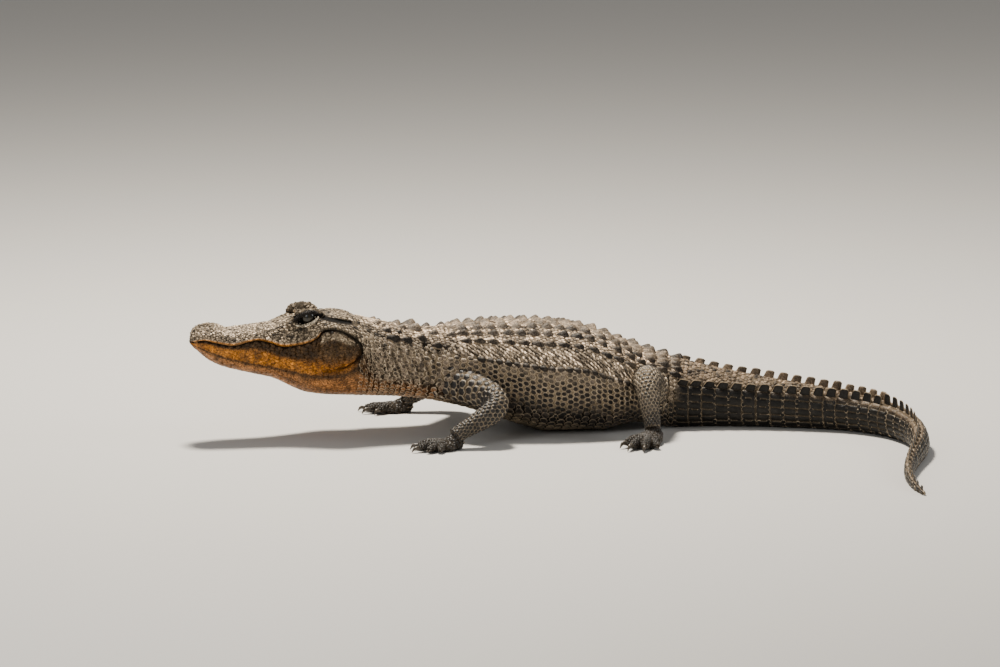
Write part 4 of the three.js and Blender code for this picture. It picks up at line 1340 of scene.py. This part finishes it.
# Tail: whorls of oblong scales, with two crests that draw together into one

tail = {
    "doubleFirst": 1046, "doubleLast": 1490, "doublePitch": 29.6, "low": 12, "high": 20,
    "singleFirst": 1515, "singleLast": 2128, "singlePitch": 27.9, "tall": 24, "short": 9,
    "whorls": (1046, 2135), "marks": (1046, 1500, 2150),  # stations of the next two lines
    "whorlLength": (28, 26, 20),
    "whorlRoom": (17, 13, 8),
    "underEdge": 128,  # degrees from the top, where the scales of the underside start
}


# Turn of the crest pairs from the top of the tail
def crestBend(s):
    share = (s - tail["doubleFirst"]) / (tail["doubleLast"] - tail["doubleFirst"])
    return np.radians(40 - 26 * np.clip(share, 0, 1))


# The pairs are painted black on their outer sides as shade, and paler on their inner sides, which face up, as
# painted light
def crestColours(s, angle):
    colour = np.tile(tint("tail"), (len(s), 1))
    bend = crestBend(s)
    inner = (1 - smooth(np.abs(angle), bend - 0.03, bend + 0.005)) * (s < tail["doubleLast"] + 15)
    colour = blend(colour, "tailTop", inner * 0.8)
    return np.concatenate([colour, np.full((len(s), 1), 0.8)], 1)


def whorlPitch(s):
    return tail["doublePitch"] - 6 * float(smooth(s, 1500, 2150))


def whorlRoom(s):
    return float(np.interp(s, tail["marks"], tail["whorlRoom"]))


def belowCrests(s):
    return float(crestBend(s)) + math.radians(7)


def betweenCrests(s):
    return float(crestBend(s)) - math.radians(3)


tailTopPatch = {
    "rows": (1036, 1495, 8.6), "edges": (math.radians(1), betweenCrests), "room": 9, "stray": 0.2,
    "length": (11, 0.85, 1.1), "width": (0.98,), "height": (2.2, 0.6, 1.4), "form": pebble,
    "horn": "fold horn",
}


def makeTail():
    stations = steps(tail["doubleFirst"], tail["doubleLast"], tail["doublePitch"])
    share = (stations - tail["doubleFirst"]) / (tail["doubleLast"] - tail["doubleFirst"])
    s = np.tile(stations, 2)
    share = np.tile(share, 2)
    angle = crestBend(s) * np.repeat([-1, 1], len(stations))
    height = mix(tail["low"], tail["high"], share) * rng.uniform(0.92, 1.08, len(s))
    size = (np.full(len(s), 27.5), np.full(len(s), 9.5), height)
    piece = coat("tail_crest_pairs", lobe, hideSurface, (s, angle), size, crestColours,
                 upright=(0.5 + 0.3 * share)[:, None])
    dress(piece, horn["tail horn"])
    s = steps(tail["singleFirst"], tail["singleLast"], tail["singlePitch"])
    share = (s - s[0]) / (s[-1] - s[0])
    size = (25.5 * (1 - 0.35 * share), 6.5 * (1 - 0.5 * share), mix(tail["tall"], tail["short"], share))
    piece = coat("tail_crest", lobe, hideSurface, (s, s * 0), size, crestColours)
    dress(piece, horn["tail horn"])

    rows = steps(*tail["whorls"], whorlPitch)
    under = math.radians(tail["underEdge"])
    for name, form, start, end, room, share, heights in (
        ("tail_scales", wideTile, belowCrests, under, whorlRoom, 0.93, (2.6, 1.6)),
        ("tail_under_scales", fineTile, under, math.pi, 19, 0.94, (1.4, 1.4)),
    ):
        s, angle, wide = bothSides(rowRoots(hideSurface, rows, start, end, room, 0.02, False))
        length = np.interp(s, tail["marks"], tail["whorlLength"])
        size = (length, wide * share, np.interp(s, tail["marks"][::2], heights))
        piece = coat(name, form, hideSurface, (s, angle), size, hideColours)
        dress(piece, horn["tail horn"])
    makePatch("tail_top_scales", tailTopPatch)


# Legs

# Sizes of the scales at the shoulder or hip, halfway and at the paw
legScales = {"fore": (19, 13, 8), "hind": (12, 10.5, 8)}
toeScales = {"pitch": 5.5, "length": 5.6, "room": 6.5, "width": 0.95, "height": 1.5}


def legScaleSize(kind, t):
    return np.interp(t, (0.15, 0.5, 1), legScales[kind])


def makeLegScales():
    for kind in ("fore", "hind"):
        colours = legColours if kind == "fore" else hindColours
        for way in (-1, 1):
            parts = legParts(kind, way)
            word = "left" if way < 0 else "right"
            joints = parts["data"]["joints"]
            reach = sum(math.dist(a, b) for a, b in zip(joints, joints[1:]))
            surface = {"point": parts["limb"], "step": 0.004, "hand": 1.0}
            rows = steps(0.03, 0.97, lambda t: 0.76 * float(legScaleSize(kind, t)) / reach)
            t, angle, wide = rowRoots(surface, rows, 0.0, 2 * math.pi,
                                      lambda t: 0.9 * float(legScaleSize(kind, t)), 0.1)
            length = legScaleSize(kind, t) * rng.uniform(0.92, 1.05, len(t))
            size = (length, wide, (3.2 - 1.6 * t) * rng.uniform(0.8, 1.2, len(t)))
            piece = coat(f"{kind}leg_scales_{word}", pebble, surface, (t, angle), size, colours)
            dress(piece, horn["leg horn"])
            for number, toe in enumerate(parts["toes"]):
                surface = {"point": toe["surface"], "step": 0.01, "hand": 1.0}
                rows = np.arange(0.08, 0.93, toeScales["pitch"] / toe["reach"])
                t, angle, wide = rowRoots(surface, rows, -1.5, 1.5, toeScales["room"], 0.05)
                size = (toeScales["length"], wide * toeScales["width"], toeScales["height"])
                name = f"{kind}toe_{number + 1}_scales_{word}"
                piece = coat(name, bump, surface, (t, angle), size, pawColours)
                dress(piece, horn["leg horn"])


makeBackKeels()
makePatch("back_scales", trunkPatches["back_scales"])
makePatch("fold_scales", trunkPatches["fold_scales"])
makePatch("flank_scales", trunkPatches["flank_scales"])
makeFlankKeels()
makePatch("belly_scales", trunkPatches["belly_scales"])
makeNeckPlates()
for name in ("nape_scales", "neck_scales", "chest_scales"):
    makePatch(name, trunkPatches[name])
makeTail()
makeLegScales()


# Head: small scales, lips, lids and eyes

lipTop = math.pi * 0.45

headPatches = {
    "snout_scales": {
        "rows": (5, 190, 5.2), "edges": (0.02, lipTop), "room": 5.0, "stray": 0.35, "clear": True,
        "length": (5.2, 1.0, 1.5), "width": (1.0, 0.85, 1.08), "height": (1.0, 0.5, 2.3), "twist": 0.6,
        "form": bump, "horn": "head horn",
    },
    "crown_scales": {
        "rows": (192, 352, 6.6), "edges": (0.02, lipTop), "room": 6.4, "stray": 0.35, "clear": True,
        "length": (6.6, 1.0, 1.5), "width": (1.0, 0.85, 1.08), "height": (1.0, 0.5, 2.3), "twist": 0.6,
        "form": bump, "horn": "head horn",
    },
    "lip_scales": {
        "rows": (8, 258, 12.5), "edges": (lipTop, math.pi * 0.498), "room": 9, "stray": 0.05,
        "stagger": False, "length": (12.4,), "width": (0.97,), "height": (1.5,),
        "form": fineTile, "horn": "jaw skin",
    },
    "temple_scales": {
        "rows": (264, 352, 7), "edges": (lipTop, math.pi * 0.56), "room": 6.5, "stray": 0.3, "clear": True,
        "length": (8, 0.8, 1.2), "width": (0.97,), "height": (1.0, 0.7, 1.6),
        "form": bump, "horn": "head horn",
    },
}
jawPatches = {
    "jaw_scales": {
        "rows": (12, 352, 8.5), "edges": (math.pi * 0.553, math.pi * 0.7), "room": 7.65, "stray": 0.3,
        "clear": True, "length": (11.9, 0.8, 1.04), "width": (0.98,), "height": (1.1, 0.6, 1.3),
        "twist": 0.3, "form": bump, "horn": "jaw skin",
    },
    "throat_scales": {
        "rows": (12, 352, 8), "edges": (math.pi * 0.7, math.pi), "room": 7.2, "stray": 0.3,
        "clear": True, "length": (11.2, 0.8, 1.04), "width": (0.98,), "height": (0.7, 0.6, 1.3),
        "twist": 0.3, "form": bump, "horn": "jaw skin",
    },
}

for name, patch in headPatches.items():
    makePatch(name, patch)
for name, patch in jawPatches.items():
    makePatch(name, patch)


# The beaded rims of the lids: the turns round the opening where each starts and ends, and its thickness
lids = {
    # the upper lid is painted dark, as the shade under the brow
    "upper": {"from": 0.1, "to": 3.05, "radius": 4.2, "margin": 1.1, "beads": 3.6, "tint": "keel",
              "edge": 0.5, "sunk": 0.3},
    "lower": {"from": 3.2, "to": 6.0, "radius": 3.4, "margin": 1.1, "beads": 4.0, "tint": "lid",
              "edge": 0.25, "sunk": -0.1},
}


def lidPath(data, way):
    # places on the skin round the opening, from its rear corner over the top or under the eye
    path = []
    for turn in np.linspace(data["from"], data["to"], 11):
        long = eye["opening"][0] * data["margin"] * math.cos(turn)
        high = eye["opening"][2] * data["margin"] * math.sin(turn)
        tilt = math.radians(eye["tilt"])
        s = eye["station"] - eye["forward"] + long * math.cos(tilt) + high * math.sin(tilt)
        z = eye["height"] - eye["drop"] - long * math.sin(tilt) + high * math.cos(tilt)
        start = Vector((s - trunk["snoutReach"], -130, z)) * mm
        x, y, z = np.array(skinTree.ray_cast(start, Vector((0, 1, 0)))[0]) / mm
        path.append((x, (y + data["radius"] * data["sunk"]) * -way, z))
    return path


def lidColours(data, count):
    return np.tile([*tint(data["tint"]), data["edge"]], (count, 1))


def makeLids():
    for name, data in lids.items():
        for way in (-1, 1):
            word = "left" if way < 0 else "right"
            radius = data["radius"]
            surface = tubeSurface(bentCurve(lidPath(data, way)), np.array((0.5, 0.85, 1, 0.9, 0.5)) * radius,
                                  1.0, 0.0, 0.1, 0.1)
            bm = sheetMesh(60, 16, lambda u, v: surface(u, v * 2 * math.pi))
            piece = newObject(f"lid_{name}_{word}", bm)
            count = len(piece.data.vertices)
            paint(piece.data, lidColours(data, count), np.zeros(count), np.full(count, 0.4))
            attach(piece, "root")
            dress(piece, horn["head horn"])
            place = {"point": surface, "step": 0.01, "hand": 1.0}
            t, angle, wide = rowRoots(place, np.linspace(0.05, 0.95, 19), 0.0, 2 * math.pi, 3.6, 0.05)
            size = (np.full(len(t), data["beads"]), wide * 0.95, np.full(len(t), 1.0))
            beads = coat(f"lid_{name}_scales_{word}", bump, place, (t, angle), size,
                         lambda t, angle: lidColours(data, len(t)))
            dress(beads, horn["head horn"])


# The iris is painted near black: its bronze is darkened as painted shade under the brow
iris = {
    "ball": 16.0, "radius": 9.5, "pupil": (2.3, 7.5), "gaze": (-0.25, -1.0, 0.1),
    "bronze": (0.020, 0.015, 0.006), "deep": (0.006, 0.005, 0.003), "black": (0.003, 0.003, 0.003),
}


def makeEyes():
    material = bpy.data.materials.new("eye")
    material.use_nodes = True
    tree = material.node_tree
    shader = tree.nodes["Principled BSDF"]
    colour = addNode(tree, "ShaderNodeAttribute", attribute_name="hide")
    fibres = ramp(tree, noise(tree, 1400, 2), 0.3, 0.7)
    fibres = mathNode(tree, "MULTIPLY_ADD", fibres, 0.5, 0.75)
    shade = mixColours(tree, 1.0, colour.outputs["Color"], fibres, "MULTIPLY")
    tree.links.new(shade, shader.inputs["Base Color"])
    shader.inputs["Roughness"].default_value = 0.2
    shader.inputs["Specular IOR Level"].default_value = 0.3
    shader.inputs["Coat Weight"].default_value = 0.35
    shader.inputs["Coat Roughness"].default_value = 0.03
    for way in (-1, 1):
        word = "left" if way < 0 else "right"
        gaze = Vector((iris["gaze"][0], iris["gaze"][1] * -way, iris["gaze"][2])).normalized()
        centre = Vector((eye["station"] - trunk["snoutReach"], eye["side"] * way, eye["height"]))
        bm = bmesh.new()
        bmesh.ops.create_uvsphere(bm, u_segments=64, v_segments=48, radius=iris["ball"] * mm)
        turn = gaze.to_track_quat("Z", "Y").to_matrix().to_4x4()
        bmesh.ops.transform(bm, matrix=Matrix.Translation(centre * mm) @ turn, verts=bm.verts)
        piece = newObject(f"eyeball_{word}", bm)
        # in the eye's own frame: the gaze along z, and y upward
        local = (points(piece) / mm - np.array(centre)) @ np.array(turn.to_3x3())
        distance = np.hypot(local[:, 0], local[:, 1])
        turns = np.arctan2(local[:, 1], local[:, 0])
        slit = np.hypot(local[:, 0] / iris["pupil"][0], local[:, 1] / iris["pupil"][1])
        bronze = np.array(iris["bronze"])[None, :] * (0.7 + 0.5 * np.sin(turns * 23) ** 2)[:, None]
        deep = np.array(iris["deep"])[None, :]
        colour = mix(bronze, deep, smooth(distance, iris["radius"] - 4, iris["radius"])[:, None])
        colour = mix(np.array(iris["black"])[None, :], colour, smooth(slit, 0.85, 1.15)[:, None])
        colour = np.where(local[:, 2:] > 0, colour, deep)
        count = len(colour)
        paint(piece.data, np.concatenate([colour, np.ones((count, 1))], 1), np.zeros(count), np.zeros(count))
        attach(piece, "root")
        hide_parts(f"eye_{word}")
        dress(piece, material)
    print("eyes: two balls with slit pupils")


# Claws

clawForm = {
    "girth": (0.62, 0.5, 0.32, 0.06),  # from root to tip, in radii of the toe
    "tipHeight": 1.2, "dark": (0.018, 0.015, 0.012, 1), "pale": (0.085, 0.066, 0.045, 1),
}


def makeClaws():
    material = bpy.data.materials.new("claw horn")
    material.use_nodes = True
    tree = material.node_tree
    shader = tree.nodes["Principled BSDF"]
    grain = ramp(tree, noise(tree, 420, 4, 0.6, (1, 1, 3)), 0.3, 0.7)
    shade = mixColours(tree, grain, clawForm["dark"], clawForm["pale"])
    tree.links.new(shade, shader.inputs["Base Color"])
    shader.inputs["Roughness"].default_value = 0.3
    pits = addNode(tree, "ShaderNodeBump", (("Strength", 0.25), ("Distance", 0.0006)))
    tree.links.new(noise(tree, 900, 3), pits.inputs["Height"])
    tree.links.new(pits.outputs["Normal"], shader.inputs["Normal"])
    for kind in ("fore", "hind"):
        for way in (-1, 1):
            word = "left" if way < 0 else "right"
            for number, toe in enumerate(legParts(kind, way)["toes"]):
                if not toe["claw"]:
                    continue
                radius, reach, claw = toe["radius"], toe["reach"], toe["claw"]
                marks = ((reach - 7, radius * 1.1), (reach + claw * 0.45, radius * 1.15),
                         (reach + claw - 0.5, clawForm["tipHeight"]))
                path = [toe["start"] + toe["out"] * d + np.array((0, 0, h)) for d, h in marks]
                surface = tubeSurface(bentCurve(path), np.array(clawForm["girth"]) * radius, 0.85, 0, 0, 0.04)
                bm = sheetMesh(20, 14, lambda u, v: surface(u, v * 2 * math.pi))
                piece = newObject(f"claw_{kind}_{number + 1}_{word}", bm)
                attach(piece, "root")
                dress(piece, material)
    print("claws: three on each paw")


makeLids()
makeEyes()
makeClaws()


# Small scales on all the skin that is still bare, as where legs and body flow together and on the paws

filler = {
    "tries": 70000, "paw": 6.0, "body": 9.5,  # sizes in mm
    "pawReach": 95,
    "apart": 0.86,  # least distance between two scales, in their mean size
    "half": 8,  # a scale counts as no wider than twice this
    "cell": 12,
}


def makeFillers():
    mesh = hide.data
    count = len(mesh.polygons)
    centres, normals, areas = np.zeros(count * 3), np.zeros(count * 3), np.zeros(count)
    mesh.polygons.foreach_get("center", centres)
    mesh.polygons.foreach_get("normal", normals)
    mesh.polygons.foreach_get("area", areas)
    corners = np.zeros(count, int)
    mesh.polygons.foreach_get("loop_start", corners)
    loops = np.zeros(len(mesh.loops), int)
    mesh.loops.foreach_get("vertex_index", loops)
    colour = np.zeros(len(mesh.vertices) * 4)
    mesh.attributes["hide"].data.foreach_get("color", colour)
    colour = colour.reshape(-1, 4)[loops[corners]]
    # the filler scales take the skin's colour without its painted shade
    colour[:, :3] /= skinPaintedShade
    centres, normals = centres.reshape(-1, 3), normals.reshape(-1, 3)
    palms = [legParts(kind, way) for kind in ("fore", "hind") for way in (-1, 1)]
    reach = np.stack([np.linalg.norm(centres - np.array(p["palm"]) * mm, axis=1) for p in palms])
    paw = np.where(reach.min(0) < filler["pawReach"] * mm, reach.argmin(0), -1)
    forward = np.array([p["forward"] for p in palms] + [(1, 0, 0)])[paw]
    size = np.where(paw >= 0, filler["paw"], filler["body"]) * mm
    spots = np.concatenate([k[0] for k in placed])
    radii = np.concatenate([k[1] for k in placed])
    order = rng.choice(count, min(filler["tries"], count), False, areas / areas.sum())
    behindHead = centres[order, 0] > (trunk["headLength"] - trunk["snoutReach"]) * mm
    order = order[behindHead & (centres[order, 2] > 0.002)]
    tree = searchTree(spots.tolist())
    chosen = []
    grid = {}
    half, cell = filler["half"] * mm, filler["cell"] * mm
    for i in order.tolist():
        co, need = centres[i], size[i] / 2
        near = tree.find_range(co.tolist(), need + half)
        if any(k[2] < filler["apart"] * (need + min(radii[k[1]], half)) for k in near):
            continue
        key = tuple(int(math.floor(v / cell)) for v in co)
        rivals = [j for a in (-1, 0, 1) for b in (-1, 0, 1) for c in (-1, 0, 1)
                  for j in grid.get((key[0] + a, key[1] + b, key[2] + c), ())]
        if any(np.linalg.norm(centres[j] - co) < filler["apart"] * (need + size[j] / 2) for j in rivals):
            continue
        grid.setdefault(key, []).append(i)
        chosen.append(i)
    for number, name in enumerate(("paw_scales_front_left", "paw_scales_front_right", "paw_scales_rear_left",
                                   "paw_scales_rear_right", "join_scales")):
        pick = np.array([i for i in chosen if paw[i] == (number if number < 4 else -1)], int)
        normal = normals[pick]
        onward = forward[pick] - normal * (forward[pick] * normal).sum(1)[:, None]
        onward /= np.linalg.norm(onward, axis=1)[:, None] + 1e-9
        across = np.cross(normal, onward)
        wide = size[pick] * rng.uniform(0.95, 1.15, len(pick))
        form = bump["spots"][None, :, :] * wide[:, None, None]
        high = np.where(bump["spots"][:, 2] < 0, 0.35, 0.2)[None, :, None] * form[:, :, 2:]
        spots = centres[pick][:, None, :] + onward[:, None, :] * form[:, :, :1]
        spots = spots + across[:, None, :] * form[:, :, 1:2]
        spots = spots + normal[:, None, :] * high
        low = centres[pick][:, :2].min(0)
        place = (centres[pick][:, :2] - low) / np.ptp(centres[pick][:, :2], axis=0)
        tone = np.repeat(rng.random(len(pick)), len(bump["spots"]))
        colours = np.repeat(colour[pick], len(bump["spots"]), axis=0)
        colours[:, 3] = rimShares["paw" if number < 4 else "join"]
        piece = joined(name, bump, spots, place, colours, tone)
        dress(piece, horn["leg horn" if number < 4 else "flank horn"])


makeFillers()


# Floor, light and camera

studio = {
    "floorSize": 30, "floorShade": (0.52, 0.51, 0.49, 1),
    "air": (0.90, 0.88, 0.85, 1), "airPower": 0.33,
}
lamps = {
    "key": {"place": (-0.4, 1.1, 3.7), "aim": (0, 0, 0.1), "size": 0.6, "watts": 440,
            "shade": (1.0, 0.92, 0.80)},
    "fill": {"place": (-2.6, -3.2, 1.9), "aim": (-0.2, 0, 0.1), "size": 1.8, "watts": 40,
             "shade": (1, 1, 1)},
    "rim": {"place": (3.4, -1.0, 2.0), "aim": (0.3, 0, 0.1), "size": 1.4, "watts": 30, "shade": (1, 1, 1)},
}
view = {
    "turn": 12, "elevation": 10, "distance": 14, "frameWidth": 1000, "frameHeight": 667,
    "metresPerPixel": 0.00209, "originPixel": (540, 426), "sensor": 36,
}


def makeStudio():
    bm = bmesh.new()
    bmesh.ops.create_grid(bm, x_segments=40, y_segments=40, size=studio["floorSize"] / 2)
    floor = newObject("floor", bm)
    material = bpy.data.materials.new("pale floor")
    material.use_nodes = True
    shader = material.node_tree.nodes["Principled BSDF"]
    shader.inputs["Base Color"].default_value = studio["floorShade"]
    shader.inputs["Roughness"].default_value = 0.7
    floor.data.materials.append(material)
    world = bpy.data.worlds.new("studio air")
    world.use_nodes = True
    world.node_tree.nodes["Background"].inputs["Color"].default_value = studio["air"]
    world.node_tree.nodes["Background"].inputs["Strength"].default_value = studio["airPower"]
    bpy.context.scene.world = world
    for name, data in lamps.items():
        lamp = bpy.data.lights.new(name, "AREA")
        lamp.size = data["size"]
        lamp.energy = data["watts"]
        lamp.color = data["shade"]
        holder = bpy.data.objects.new(name, lamp)
        holder.location = data["place"]
        look = Vector(data["aim"]) - Vector(data["place"])
        holder.rotation_euler = look.to_track_quat("-Z", "Y").to_euler()
        bpy.context.scene.collection.objects.link(holder)
    print("studio: floor and three lamps")


def makeCamera():
    turn = math.radians(view["turn"])
    rise = math.radians(view["elevation"])
    look = Vector((math.sin(turn) * math.cos(rise), math.cos(turn) * math.cos(rise), -math.sin(rise)))
    right = Vector((math.cos(turn), -math.sin(turn), 0))
    up = right.cross(look)
    across = (view["frameWidth"] / 2 - view["originPixel"][0]) * view["metresPerPixel"]
    above = (view["originPixel"][1] - view["frameHeight"] / 2) * view["metresPerPixel"]
    target = right * across + up * above
    lens = bpy.data.cameras.new("camera")
    lens.sensor_width = view["sensor"]
    lens.lens = view["sensor"] * view["distance"] / (view["frameWidth"] * view["metresPerPixel"])
    lens.clip_end = 100
    camera = bpy.data.objects.new("camera", lens)
    camera.location = target - look * view["distance"]
    camera.rotation_euler = look.to_track_quat("-Z", "Y").to_euler()
    bpy.context.scene.collection.objects.link(camera)
    bpy.context.scene.camera = camera


makeStudio()
makeCamera()
